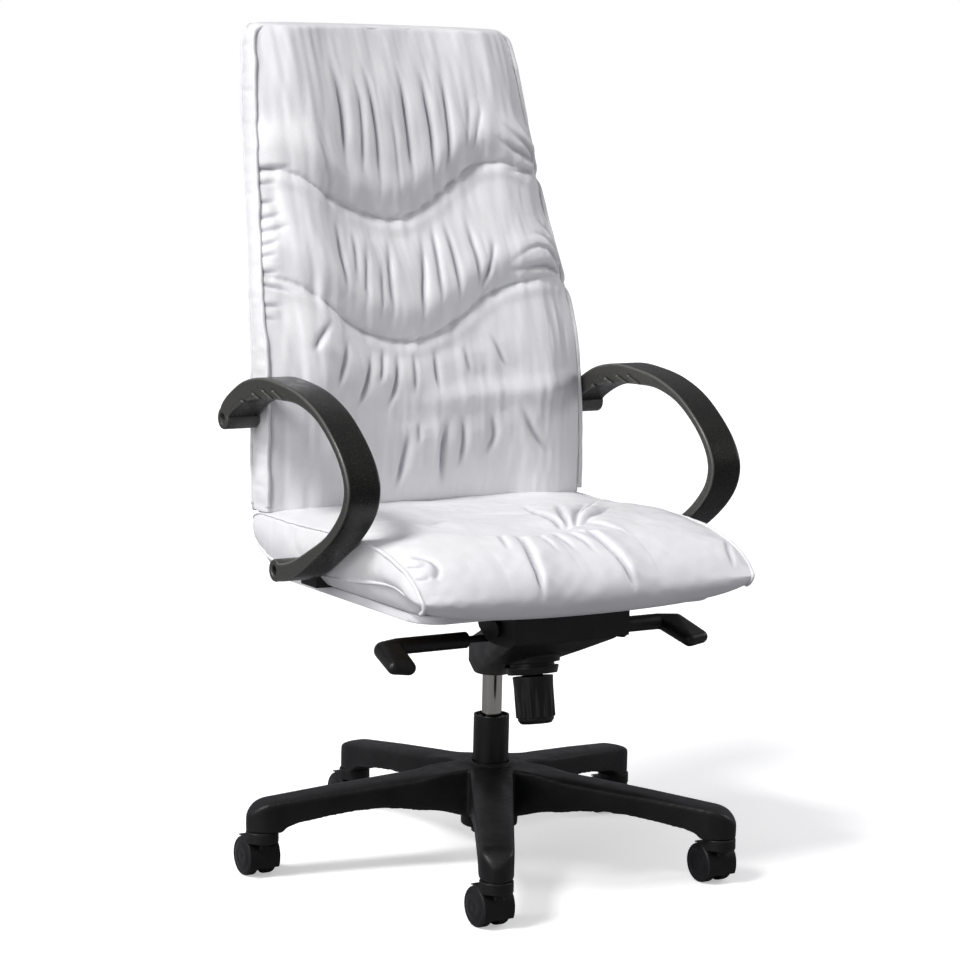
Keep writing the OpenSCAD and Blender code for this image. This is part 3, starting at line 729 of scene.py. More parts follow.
def back_swell(x, z):
    """How far the cover stands forward of its edges, in mm, before it is blown up: bolsters down both sides,
    a dished middle, and three pouches that hang over the seams below them."""
    w = half_width(z)
    u = np.clip(np.abs(x) / w, 0, 1)
    shoulder = 1 - u ** 9
    lumbar = ramp(560, 680, z) * (1 - ramp(1000, 1130, z))
    bolster = (18 + 6 * lumbar) * np.exp(-((u - 0.74) / 0.23) ** 2)
    hi, lo = arc_high(x), arc_low(x)
    t1 = np.clip((z - hi) / (BACK_TOP + 6 - hi), 0, 1)
    t2 = np.clip((z - lo) / (hi - lo), 0, 1)
    t3 = np.clip((z - BACK_FOOT) / (lo - BACK_FOOT), 0, 1)

    def pouch(t, low, power):
        return np.sin(np.pi * np.clip(t, 0, 1) ** low) ** power

    middle = 0.40 + 0.34 * (1 - ramp(0.35, 0.85, u))
    p = np.where(z >= hi, 22 * pouch(t1, 0.60, 0.72), np.where(z >= lo, 22 * pouch(t2, 0.66, 0.72), 20 * pouch(t3, 0.95, 0.60)))
    return shoulder * (5 + p * middle + bolster)


BACK_FOLDS = []


def fold(points, a=3.0, v=4.0, r=9.0, side=1, taper=(0.3, 0.3)):
    BACK_FOLDS.append({"p": points, "a": a, "v": v * 1.2, "r": r * 1.3, "side": side, "taper": (taper[0] * 1.3, taper[1] * 1.3)})


# long folds of the head panel, hanging from its top to the upper seam
fold([(-104, 1120), (-100, 1085), (-98, 1030), (-104, 955)], 4.2, 4.5, 12)
fold([(-76, 1105), (-68, 1055), (-72, 985), (-80, 935)], 2.4, 3.5, 8)
fold([(-53, 1120), (-49, 1080), (-47, 1012), (-50, 905)], 4.2, 4.2, 11)
fold([(2, 1122), (7, 1080), (6, 1010), (3, 915)], 4.0, 4.2, 11)
fold([(-22, 1060), (-19, 1000), (-20, 905)], 2.2, 3.5, 8)
fold([(47, 1122), (43, 1056), (43, 1000), (38, 925)], 4.2, 4.0, 10)
fold([(76, 1115), (75, 1055), (69, 988), (57, 940)], 4.0, 4.0, 10)
fold([(110, 1068), (108, 1035), (95, 980)], 2.0, 3.5, 8)
fold([(130, 1060), (124, 1030), (108, 980)], 1.6, 3.0, 7)
fold([(-150, 1010), (-144, 985), (-140, 940)], 1.8, 3.5, 9)
# middle panel, between the two seams
fold([(-128, 905), (-131, 864), (-134, 819), (-138, 772)], 3.8, 4.0, 11)
fold([(-104, 882), (-107, 845), (-117, 790)], 2.6, 3.5, 9)
fold([(-83, 868), (-95, 818), (-107, 755)], 2.4, 3.5, 9)
fold([(-44, 868), (-57, 803), (-61, 740)], 3.6, 4.0, 10)
fold([(-64, 835), (-75, 788), (-82, 745)], 2.2, 3.4, 8)
fold([(13, 875), (2, 817), (-8, 777), (-14, 730)], 3.8, 4.0, 10)
fold([(33, 895), (27, 831), (16, 747)], 3.4, 3.8, 9)
fold([(51, 892), (54, 831), (52, 765)], 3.8, 3.8, 10)
fold([(86, 890), (90, 825), (88, 782)], 3.6, 3.8, 10)
fold([(124, 862), (108, 818), (91, 785)], 3.0, 3.6, 9)
# lower panel, fanning from the lower seam
fold([(-163, 752), (-185, 730), (-202, 706)], 3.2, 4.0, 10)
fold([(-141, 730), (-150, 698), (-168, 652)], 3.4, 4.0, 10)
fold([(-98, 712), (-111, 665), (-136, 622)], 3.4, 4.0, 10)
fold([(-77, 712), (-84, 685), (-94, 655)], 3.0, 3.6, 9)
fold([(-54, 708), (-65, 658), (-82, 618)], 3.2, 3.8, 9)
fold([(-28, 706), (-35, 637)], 2.6, 3.5, 8)
fold([(7, 710), (6, 675), (8, 640)], 3.0, 3.6, 9)
fold([(54, 712), (62, 663)], 2.2, 3.5, 9)
fold([(98, 730), (112, 695), (127, 668)], 2.2, 3.5, 9)
fold([(-44, 600), (-53, 548), (-64, 505)], 3.4, 4.5, 11)
fold([(-30, 606), (-31, 570)], 2.2, 3.5, 8)
fold([(22, 614), (11, 572), (12, 535), (18, 504)], 5.0, 5.0, 13, side=-1)
fold([(44, 617), (45, 573), (38, 530)], 3.2, 4.0, 10)
fold([(90, 618), (97, 581), (78, 548)], 2.6, 4.5, 12)
fold([(138, 626), (160, 581), (192, 545)], 2.6, 5.0, 14)
# pulls into the two notches of the right-hand seam
fold([(228, 962), (180, 985), (135, 1012)], 3.2, 3.2, 7, side=-1, taper=(0.05, 0.5))
fold([(230, 958), (185, 1002), (150, 1035)], 3.6, 3.2, 7, side=-1, taper=(0.05, 0.5))
fold([(230, 966), (210, 1000), (190, 1035)], 3.0, 3.0, 6, side=-1, taper=(0.05, 0.5))
fold([(228, 950), (190, 956), (150, 958)], 2.6, 3.2, 7, side=-1, taper=(0.05, 0.5))
fold([(248, 806), (200, 820), (128, 812)], 3.6, 3.4, 8, side=-1, taper=(0.05, 0.5))
fold([(248, 812), (190, 848), (126, 815)], 2.6, 3.2, 8, side=-1, taper=(0.05, 0.5))
fold([(246, 822), (215, 858), (180, 872)], 3.4, 3.2, 7, side=-1, taper=(0.05, 0.5))
fold([(242, 840), (225, 872), (205, 892)], 3.0, 3.0, 6, side=-1, taper=(0.05, 0.5))
# short gathers along the left-hand seam
for _z, _l, _s, _a in [(958, 46, 6, 3.4), (938, 26, 4, 2.2), (912, 22, 4, 2.6), (890, 30, 10, 2.8), (872, 40, 12, 2.6), (853, 26, 8, 3.0), (838, 22, 4, 2.4), (817, 24, 0, 3.0), (800, 42, -14, 3.2), (772, 26, 0, 3.0), (756, 18, -6, 2.0)]:
    _w = float(half_width(_z))
    fold([(-_w + 1, _z), (-_w + 1 + _l * 0.55, _z + _s * 0.4), (-_w + 1 + _l, _z + _s)], _a, 2.8, 5.5, side=1, taper=(0.05, 0.55))


def make_back():
    nu, nk = 104, 9
    zs = np.linspace(BACK_FOOT, BACK_TOP, 134)
    us = np.linspace(-1, 1, nu + 1)
    us = us * (1 + 0.10 * (1 - us ** 2)) / 1.0
    us = np.clip(us / np.abs(us).max(), -1, 1)
    rings, seam = [], []

    def ring(z, lid=0.0, rise=0.0, foot=False):
        w = float(half_width(z))
        yf, yr = float(front_edge(z)), float(rear_edge(z)) - 15.0
        mid = (yf + yr) / 2
        x = us * w
        sw = back_swell(x, np.full_like(x, z)) if not foot else back_swell(x, np.full_like(x, z))
        y = yf - sw * (1 - lid)
        y = y + (mid - y) * lid
        f = np.stack([x, y, np.full_like(x, z) + rise * (1 - us ** 2) ** 0.2], 1)
        ks = (np.arange(nk) + 1) / (nk + 1)
        bulge = 3.5 * np.sin(np.pi * ks) * (1 - lid)
        yk0, yk1 = yf + (mid - yf) * lid, yr + (mid - yr) * lid
        rc = np.stack([w + bulge, yk0 + (yk1 - yk0) * ks, np.full(nk, z + 0.0)], 1)
        b = np.stack([x[::-1], np.full_like(x, yk1), np.full_like(x, z) + rise * (1 - us[::-1] ** 2) ** 0.2], 1)
        lc = np.stack([-w - bulge[::-1], yk1 + (yk0 - yk1) * ks, np.full(nk, z + 0.0)], 1)
        return np.vstack([f, rc, b, lc])

    def pins(z, lid):
        w = float(half_width(z))
        x = us * w
        near = np.maximum(np.exp(-((z - arc_high(x)) / 6.0) ** 2), np.exp(-((z - arc_low(x)) / 6.0) ** 2))
        f = np.where(near > 0.25, 1.0, 0.0)
        f[:2] = f[-2:] = 1.0
        if lid > 0 or z > BACK_TOP - 6 or z < BACK_FOOT + 14:
            f[:] = 1.0
        c = np.zeros(nk)
        c[:1] = c[-1:] = 1.0
        return np.concatenate([f, c, np.ones(nu + 1), c])

    for lid in (0.85, 0.45, 0.15):
        rings.append(ring(BACK_FOOT, lid)); rings[-1][:, 2] -= 3.0 * math.sqrt(lid)
        seam.append(pins(BACK_FOOT, 1))
    for z in zs:
        rings.append(ring(z)); seam.append(pins(z, 0))
    for lid, rise in ((0.12, 2.5), (0.4, 4.5), (0.8, 5.5)):
        rings.append(ring(BACK_TOP, lid, rise)); rings[-1][:, 2] += rise * 0.35
        seam.append(pins(BACK_TOP, 1))
    v, f = rings_to_mesh(np.array(rings), nu, nk)
    ob = make("back_cushion_cover", v, f, LEATHER)
    puff(ob, np.concatenate(seam), pressure=4.0, cap=12.0, bend=0.8)
    subdivide(ob)
    me = ob.data
    co, no = coords(me) * 1000, normals(me)
    x, z = co[:, 0], co[:, 2]
    face = ramp(0.25, 0.75, -no[:, 1])
    w = half_width(z)
    inside = 1 - ramp(0.90, 0.995, np.abs(x) / w)
    h, dark = crease_lines(x, z, BACK_FOLDS)
    h *= 1.25
    edge_keep = 0.35 + 0.65 * inside
    # sewn seams across the panel
    for arc in (arc_high, arc_low):
        d = (z - arc(x)) / np.sqrt(1 + ((arc(x + 2) - arc(x - 2)) / 4) ** 2)
        h += -2.6 * np.exp(-(d / 3.0) ** 2) + 3.0 * np.exp(-((d + 14) / 9) ** 2) + 7.0 * np.exp(-((d - 40) / 26) ** 2) * (d > 0)
        # painted shade along the seam line
        dark = np.maximum(dark, 0.12 * np.exp(-(d / 1.8) ** 2))
        # fine gathers held by the seam
        gath = np.sin(x / 4.1 + 2.2 * noise2(x / 38, z / 60, 3)) * (0.5 + 0.5 * noise2(x / 26, z / 90, 5))
        h += 1.5 * gath * np.exp(-(np.abs(d) / 26))
    # soft unevenness of the hide, drawn out up and down
    h += 2.0 * noise2(x / 17, z / 85, 11) + 0.9 * noise2(x / 8, z / 42, 12) + 1.4 * noise2(x / 60, z / 60, 13)
    # lumbar band on the lower panel
    h += 6.5 * np.exp(-((z - 636 - 0.05 * x) / 17) ** 2) * ramp(-90, 60, x) * inside
    co = co + no * (h * face * edge_keep)[:, None]
    # small puckers along the side bands
    side = ramp(0.5, 0.9, np.abs(no[:, 0]))
    pk = 1.0 * noise2(co[:, 1] / 40, z / 13, 21) + 0.6 * noise2(co[:, 1] / 30, z / 6.5, 22)
    co = co + no * (side * pk * 0.8)[:, None]
    put(me, co / 1000)
    # the painted shade of folds and seams, on the forward faces, goes to the leather's colour
    attribute(me, "painted_crease_shade", dark * face)
    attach(ob, "seat")
    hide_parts("back_cushion")
    return ob


def notch(z):
    """How far the right-hand seam is pulled in at its two notches, in mm."""
    return 5.0 * np.exp(-((z - 947) / 7.0) ** 2) + 5.0 * np.exp(-((z - 790) / 7.0) ** 2)


def back_piping():
    parts = []
    zs = np.linspace(BACK_FOOT + 6, BACK_TOP - 8, 260)
    for front in (True, False):
        w = half_width(zs)
        wob = 0.9 * noise2(zs / 11, zs * 0, 31) + 0.6 * noise2(zs / 5, zs * 0, 32)
        y = front_edge(zs) - 2.0 if front else rear_edge(zs) - 16.0
        y = y + (wob * 1.1 if front else 0.3 * wob)
        left = np.stack([-(w + 0.8 + 0.5 * wob), y, zs], 1)
        right = np.stack([(w + 0.8 + 0.4 * wob) - notch(zs), y + 0.8 * notch(zs), zs], 1)
        xs = np.linspace(-1, 1, 90)[1:-1]
        wt = float(half_width(BACK_TOP - 8))
        yt = (float(front_edge(BACK_TOP)) - 1.0) if front else float(rear_edge(BACK_TOP)) - 16.0
        wt2 = 0.7 * noise2(xs * 22, xs * 0, 33)
        top = np.stack([xs * (wt - 6), np.full_like(xs, yt) + wt2, BACK_TOP + 0.6 - 2.5 * np.abs(xs) ** 8 + 0.5 * wt2], 1)
        path = np.vstack([left, top, right[::-1]])
        path = resample(path, 3.0)
        for _ in range(3):
            path[1:-1] = (path[:-2] + 2 * path[1:-1] + path[2:]) / 4
        s = np.arange(len(path))
        rad = (3.0 if front else 2.6) * (1 + 0.06 * noise2(s / 3.0, s * 0, 34))
        parts.append(tube(path, 3.0, 10, radii=rad))
    v, f = join_parts(parts)
    ob = make("back_piping", v, f, LEATHER_TRIM)
    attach(ob, "seat")


def back_cover_piece():
    """The leather-covered shell behind: a slightly crowned panel with rounded rim, and a topstitch round it."""
    nu = 60
    zs = np.linspace(482, 1160, 92)
    us = np.linspace(-1, 1, nu + 1)
    rings = []

    def ring(z, inset=0.0, t=1.0):
        w = (float(half_width(z)) - 4 - inset)
        x = us * w
        rim = np.clip(np.abs(us), 0, 1) ** 14
        crown = 4.0 * (1 - us ** 2) - 3.0 * rim
        y1 = float(rear_edge(z)) - 0.5 + crown
        y0 = float(rear_edge(z)) - 5.0
        ym = (y0 + y1) / 2
        b = np.stack([x, ym + (y1 - ym) * t, np.full_like(x, z)], 1)
        f = np.stack([x[::-1], (y0 + (ym[::-1] - y0) * (1 - t)), np.full_like(x, z)], 1)
        yy = float(rear_edge(z)) - 3.4
        rc = np.array([[w + 1.2, yy, z]])
        lc = np.array([[-w - 1.2, yy, z]])
        return np.vstack([b, rc, f, lc])

    rings.append(ring(zs[0] - 2, 3, 0.35))
    for z in zs:
        rings.append(ring(z))
    rings.append(ring(zs[-1] + 2.0, 3, 0.35))
    v, f = rings_to_mesh(np.array(rings), nu, 1)
    ob = make("back_outer_cover", v, f, LEATHER)
    subdivide(ob)
    me = ob.data
    co, no = coords(me) * 1000, normals(me)
    x, z = co[:, 0], co[:, 2]
    back = ramp(0.3, 0.8, no[:, 1])
    h = 0.7 * noise2(x / 60, z / 60, 41) + 0.35 * noise2(x / 17, z / 17, 42)
    w = half_width(z) - 4
    d_edge = np.minimum(w - np.abs(x), np.minimum(z - 482, 1160 - z))
    h += -1.1 * np.exp(-((d_edge - 14) / 1.6) ** 2)
    d_cross = z - (800 + 18 * (x / 250) ** 2)
    h += -1.6 * np.exp(-(d_cross / 1.8) ** 2) + 0.7 * np.exp(-((np.abs(d_cross) - 6) / 4) ** 2)
    # painted shade in the topstitch groove and along the cross seam
    dark = np.maximum(0.6 * np.exp(-(d_cross / 1.3) ** 2), 0.5 * np.exp(-((d_edge - 14) / 1.2) ** 2)) * back
    put(me, (co + no * (h * back)[:, None]) / 1000)
    attribute(me, "painted_crease_shade", dark)
    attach(ob, "seat")
    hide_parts("back_cover")
    # topstitch: short threads lying in the groove
    pts = []
    for sgn in (-1, 1):
        zz = np.arange(500, 1144, 5.0)
        for q in zz:
            pts.append(((sgn * (float(half_width(q)) - 18), q), (sgn * (float(half_width(q + 3.2)) - 18), q + 3.2)))
    for q in np.arange(-190, 187, 5.0):
        pts.append(((q, 1146), (q + 3.2, 1146)))
    for q in np.arange(-236, 233, 5.0):
        pts.append(((q, 806 + 18 * (q / 250) ** 2), (q + 3.2, 806 + 18 * ((q + 3.2) / 250) ** 2)))
        pts.append(((q, 794 + 18 * (q / 250) ** 2), (q + 3.2, 794 + 18 * ((q + 3.2) / 250) ** 2)))
    from mathutils.bvhtree import BVHTree
    bm = bmesh.new(); bm.from_mesh(me); tree = BVHTree.FromBMesh(bm); bm.free()
    parts = []
    for (x0, z0), (x1, z1) in pts:
        seg = []
        for t, lift in ((0.0, -0.15), (0.25, 0.3), (0.75, 0.3), (1.0, -0.15)):
            xx, zz_ = x0 + (x1 - x0) * t, z0 + (z1 - z0) * t
            hit = tree.ray_cast(Vector((xx * MM, 0.6, zz_ * MM)), Vector((0, -1, 0)))
            if hit[0] is None:
                seg = None
                break
            seg.append([xx, hit[0].y * 1000 + lift, zz_])
        if seg:
            parts.append(tube(seg, 0.42, 6))
    v, f = join_parts(parts)
    st = make("back_topstitch", v, f, THREAD)
    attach(st, "seat")


# ---------------------------------------------------------------- seat
SEAT_PROFILE = catmull([(240, 452), (238, 476), (205, 490), (114, 490), (0, 493), (-60, 495), (-110, 491), (-150, 486), (-200, 472), (-236, 452), (-254, 430), (-256, 412), (-250, 399), (-240, 393)], 10)
seat_d = np.r_[0, np.cumsum(np.hypot(*np.diff(SEAT_PROFILE, axis=0).T))]


def seat_at(s):
    return np.interp(s, seat_d, SEAT_PROFILE[:, 0]), np.interp(s, seat_d, SEAT_PROFILE[:, 1])


def s_of_y(y):
    """Distance along the seat's profile of a point on its top or front."""
    k = np.argmax(SEAT_PROFILE[:, 1] > 488)
    ys = SEAT_PROFILE[k:, 0]
    n = np.argmin(ys)
    return np.interp(-np.asarray(y, float), -ys[:n], seat_d[k:k + n])


SEAT_ARC = smooth_interp([(-262, 60), (-230, 40), (-190, -10), (-160, -75), (-115, -132), (-60, -150), (0, -146), (50, -118), (90, -80), (130, -35), (180, 30), (225, 85), (262, 115)])
SEAT_FOLDS = []


def sfold(points, a=3.0, v=4.0, r=9.0, side=1, taper=(0.3, 0.3)):
    """Points are (x, y) on the seat's top and front, y by where the profile passes it; a y below -256 counts on down the front."""
    q = []
    for x, y in points:
        s = float(s_of_y(max(y, -254))) + max(0, -254 - y)
        q.append((x, s))
    SEAT_FOLDS.append({"p": q, "a": a, "v": v, "r": r, "side": side, "taper": taper})


sfold([(-64, -156), (-74, -192), (-84, -226), (-88, -256), (-88, -268)], 5.0, 4.0, 11, side=-1, taper=(0.12, 0.3))
sfold([(40, -160), (44, -200), (50, -230), (56, -256), (58, -266)], 4.6, 4.0, 11, side=-1, taper=(0.12, 0.3))
sfold([(-34, -158), (-36, -190), (-38, -215)], 2.2, 3.0, 6, side=-1, taper=(0.1, 0.6))
sfold([(-10, -156), (-8, -185), (-8, -212)], 2.4, 3.0, 6, side=-1, taper=(0.1, 0.6))
sfold([(12, -158), (16, -190), (20, -222)], 2.6, 3.0, 6, side=-1, taper=(0.1, 0.6))
sfold([(30, -154), (34, -182), (40, -206)], 2.2, 3.0, 6, side=-1, taper=(0.1, 0.6))
sfold([(-90, -150), (-100, -180), (-108, -205)], 2.0, 3.2, 7, side=-1, taper=(0.1, 0.6))
sfold([(70, -120), (86, -160), (98, -190)], 2.4, 3.4, 8, side=-1, taper=(0.1, 0.6))
sfold([(58, -112), (92, -62), (140, 0), (190, 60)], 4.0, 4.2, 10, side=1, taper=(0.08, 0.5))
sfold([(50, -108), (70, -58), (110, 10), (150, 80)], 3.6, 4.2, 10, side=1, taper=(0.08, 0.5))
sfold([(42, -104), (50, -50), (70, 20), (92, 90)], 2.8, 4.2, 10, side=1, taper=(0.08, 0.5))
sfold([(60, -120), (110, -90), (160, -50)], 3.0, 3.8, 9, side=-1, taper=(0.08, 0.5))
sfold([(-150, -60), (-100, -40), (-20, -50)], 1.8, 5.0, 14, side=1, taper=(0.3, 0.4))
sfold([(-60, 60), (20, 20), (60, -20)], 1.8, 5.0, 14, side=1, taper=(0.3, 0.4))
sfold([(-200, 120), (-120, 80), (-40, 70)], 1.8, 5.0, 14, side=1, taper=(0.3, 0.4))
sfold([(-244, -180), (-226, -196), (-222, -214), (-236, -232)], 2.4, 4.0, 10, side=1, taper=(0.2, 0.2))
sfold([(-256, -196), (-240, -205), (-228, -200)], 2.0, 3.2, 8, side=1, taper=(0.1, 0.4))
sfold([(-256, -222), (-244, -226), (-236, -222)], 1.8, 3.0, 7, side=1, taper=(0.1, 0.4))
sfold([(250, -200), (236, -222), (228, -250)], 2.4, 3.6, 9, side=-1, taper=(0.2, 0.4))


def seat_swell(x, s, w):
    y, z = seat_at(s)
    u = np.clip(np.abs(x) / w, 0, 1)
    shoulder = 1 - u ** 8
    s_arc = s_of_y(SEAT_ARC(x))
    s_rear = 40.0
    s_front = seat_d[-1] - 22
    t_pad = np.clip((s - s_rear) / (s_arc - s_rear), 0, 1)
    t_roll = np.clip((s - s_arc) / (s_front - s_arc), 0, 1)
    pad = 4.0 * np.sin(np.pi * t_pad ** 0.9) ** 0.6
    roll = 9.0 * np.sin(np.pi * t_roll ** 0.75) ** 0.6
    h = np.where(s < s_arc, pad, roll) * shoulder
    dish = -6.0 * np.exp(-(x / 150) ** 2) * ramp(20, 120, s) * (1 - ramp(s_arc - 40, s_arc + 10, s))
    dimple = -7.0 * np.exp(-((x - 50) / 26) ** 2 - ((s - s_of_y(-112)) / 24) ** 2)
    return h + dish + dimple + (shoulder - 1) * 3.0


def make_seat():
    nu, nk = 104, 9
    rows = np.unique(np.concatenate([np.linspace(0, 60, 15), np.linspace(60, seat_d[-1], 112)]))
    us = np.linspace(-1, 1, nu + 1)
    us = us * (1 + 0.10 * (1 - us ** 2))
    us = us / np.abs(us).max()
    n_at = np.gradient(SEAT_PROFILE, axis=0)
    n_at = np.stack([n_at[:, 1], -n_at[:, 0]], 1)
    n_at /= np.linalg.norm(n_at, axis=1)[:, None]
    lower = smooth_interp([(-238, 402), (-225, 418), (-180, 436), (-138, 437), (-60, 428), (-2, 423), (80, 420), (164, 419), (205, 430), (229, 444)])

    def plan(s):
        y, z = seat_at(s)
        w = 261.0 - 5.0 * ramp(225, 245, y) - 3.0 * ramp(-225, -256, -np.abs(y)) * 0
        return w - 4.0 * ramp(440, 398, z) * (1 if y < 0 else 0)

    rings, seam = [], []
    for s in rows:
        y, z = seat_at(s)
        ny = np.interp(s, seat_d, n_at[:, 0])
        nz = np.interp(s, seat_d, n_at[:, 1])
        w = float(plan(s))
        x = us * w
        h = seat_swell(x, np.full_like(x, s), w)
        bow = 0.0
        drop = 5.0 * np.abs(us) ** 6
        lift = 14.0 * np.abs(us) ** 2.4 * float(ramp(445, 400, z)) * (1 if y < 0 else 0)
        f = np.stack([x, y + ny * (h - drop) + bow, z + nz * (h - drop) + lift], 1)
        # where the cheek of this row ends, along the lower edge
        k = np.clip((s - 30) / (seat_d[-1] - 30), 0, 1)
        ly = 226 - 464 * k ** 1.06
        ly = min(max(ly, -237), 227)
        lz = float(lower(ly)) + 14.0 * float(ramp(-205, -232, ly))
        lx = 257.0 - 3 * ramp(-200, -237, ly)
        e = f[-1]
        ks = (np.arange(nk) + 1) / (nk + 1)
        height = math.hypot(e[1] - ly, e[2] - lz)
        bulge = min(6.0, height * 0.10) * np.sin(np.pi * ks)
        rc = np.stack([e[0] + (lx - e[0]) * ks + bulge, e[1] + (ly - e[1]) * ks, e[2] + (lz - e[2]) * ks], 1)
        bx = us[::-1] * lx
        rim = np.clip((np.abs(bx) - 238) / (lx - 238), 0, 1)
        bz = 403.5 + (lz - 403.5) * rim ** 1.3
        if ly < -206 or ly > 206:
            out = ramp(206, 230, abs(ly))
            bz = bz + (lz - bz) * out
            bz = np.maximum(bz, 403.5 if abs(ly) < 208 else 396)
        bz = bz + 12.0 * np.abs(us[::-1]) ** 2.4 * float(ramp(-190, -230, ly))
        by = np.full_like(bx, ly)
        b = np.stack([bx, by, bz], 1)
        e2 = f[0]
        lc = np.stack([e2[0] + (-lx - e2[0]) * ks[::-1] - bulge[::-1], e2[1] + (ly - e2[1]) * ks[::-1], e2[2] + (lz - e2[2]) * ks[::-1]], 1)
        rings.append(np.vstack([f, rc, b, lc]))
        sa = s_of_y(SEAT_ARC(x))
        p = np.where(np.abs(s - sa) < 7, 1.0, 0.0)
        p[:2] = p[-2:] = 1.0
        if s < 6 or s > seat_d[-1] - 20:
            p[:] = 1.0
        c = np.zeros(nk)
        c[:1] = c[-1:] = 1.0
        seam.append(np.concatenate([p, c, np.ones(nu + 1), c]))
    v, f = rings_to_mesh(np.array(rings), nu, nk)
    ob = make("seat_cushion_cover", v, f, LEATHER)
    # remember where each point sits on the profile, for the folds that come after
    s_all = np.repeat(rows, rings[0].shape[0])
    attribute(ob.data, "row", s_all)
    puff(ob, np.concatenate(seam), pressure=4.0, cap=10.0, bend=0.8)
    subdivide(ob)
    me = ob.data
    a = np.zeros(len(me.vertices), np.float32)
    me.attributes["row"].data.foreach_get("value", a)
    s = a.astype(float)
    co, no = coords(me) * 1000, normals(me)
    x = co[:, 0]
    top = ramp(0.35, 0.75, np.maximum(no[:, 2], -no[:, 1]))
    top = top * (1 - ramp(0.55, 0.85, np.abs(no[:, 0]))) * ramp(-0.6, -0.2, no[:, 2])
    h, dark = crease_lines(x, s, SEAT_FOLDS)
    h *= 1.3
    sa = s_of_y(SEAT_ARC(x))
    slope = (s_of_y(SEAT_ARC(x + 2)) - s_of_y(SEAT_ARC(x - 2))) / 4
    d = (s - sa) / np.sqrt(1 + slope ** 2)
    fade = 1 - 0.45 * ramp(150, 240, np.abs(x))
    h += fade * (-2.8 * np.exp(-(d / 3.2) ** 2) + 2.2 * np.exp(-((d - 10) / 7.0) ** 2))
    # painted shade along the seam line
    dark = np.maximum(dark, 0.5 * np.exp(-(d / 1.8) ** 2) * fade)
    gath = np.sin(x / 4.4 + 2.2 * noise2(x / 38, s / 60, 53)) * (0.5 + 0.5 * noise2(x / 26, s / 90, 55))
    h += 0.9 * gath * np.exp(-(np.abs(d - 8) / 18)) * np.exp(-((x - 0) / 120) ** 2)
    h += 1.3 * noise2(x / 45, s / 34, 61) + 0.6 * noise2(x / 15, s / 13, 62) + 1.0 * noise2(x / 90, s / 80, 63)
    inside = 0.3 + 0.7 * (1 - ramp(0.92, 0.995, np.abs(x) / 261))
    co = co + no * (h * top * inside)[:, None]
    side = ramp(0.6, 0.92, np.abs(no[:, 0]))
    pk = 0.9 * noise2(co[:, 1] / 26, co[:, 2] / 22, 71) + 0.5 * noise2(co[:, 1] / 9, co[:, 2] / 16, 72)
    co = co + no * (side * pk)[:, None]
    put(me, co / 1000)
    attribute(me, "painted_crease_shade", dark * top)
    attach(ob, "seat")
    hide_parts("seat_cushion")
    # piping down both sides and along the lower edge
    parts = []
    for sgn in (-1, 1):
        col = 0 if sgn < 0 else nu
        path = np.array([r[col] for r in rings])[6:]
        path[:, 0] += sgn * 0.8
        path = resample(path, 3.0)
        i = np.arange(len(path))
        wob = 0.5 * noise2(i / 3.3, i * 0, 81 + sgn)
        path[:, 2] += wob
        path[:, 0] += 0.4 * wob
        for _ in range(2):
            path[1:-1] = (path[:-2] + 2 * path[1:-1] + path[2:]) / 4
        thin = 0.35 + 0.65 * ramp(0.45, 0.75, i / len(i))
        parts.append(tube(path, 3.0, 10, radii=2.9 * thin * (1 + 0.06 * noise2(i / 3.0, i * 0, 84))))
        col = nu + 1 + nk if sgn > 0 else 2 * (nu + 1) + nk - 1
        path = np.array([r[col] for r in rings])[10:]
        path = resample(path, 3.0)
        for _ in range(4):
            path[1:-1] = (path[:-2] + 2 * path[1:-1] + path[2:]) / 4
        parts.append(tube(path, 2.4, 8))
    v, f = join_parts(parts)
    pp = make("seat_piping", v, f, LEATHER_TRIM)
    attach(pp, "seat")
    return ob


# ---------------------------------------------------------------- arms
ARM_PATH = [(236, 612, 26), (229, 634, 26), (204, 654, 27), (160, 675, 29), (105, 684.5, 29), (50, 682, 23), (0, 674, 16), (-50, 656, 12),
            (-92, 629, 11), (-124, 599, 12), (-141, 568, 14), (-137, 537, 14), (-117, 509, 14), (-84, 481, 14), (-42, 454, 18), (4, 427, 23),
            (40, 415, 25), (62, 413, 26)]


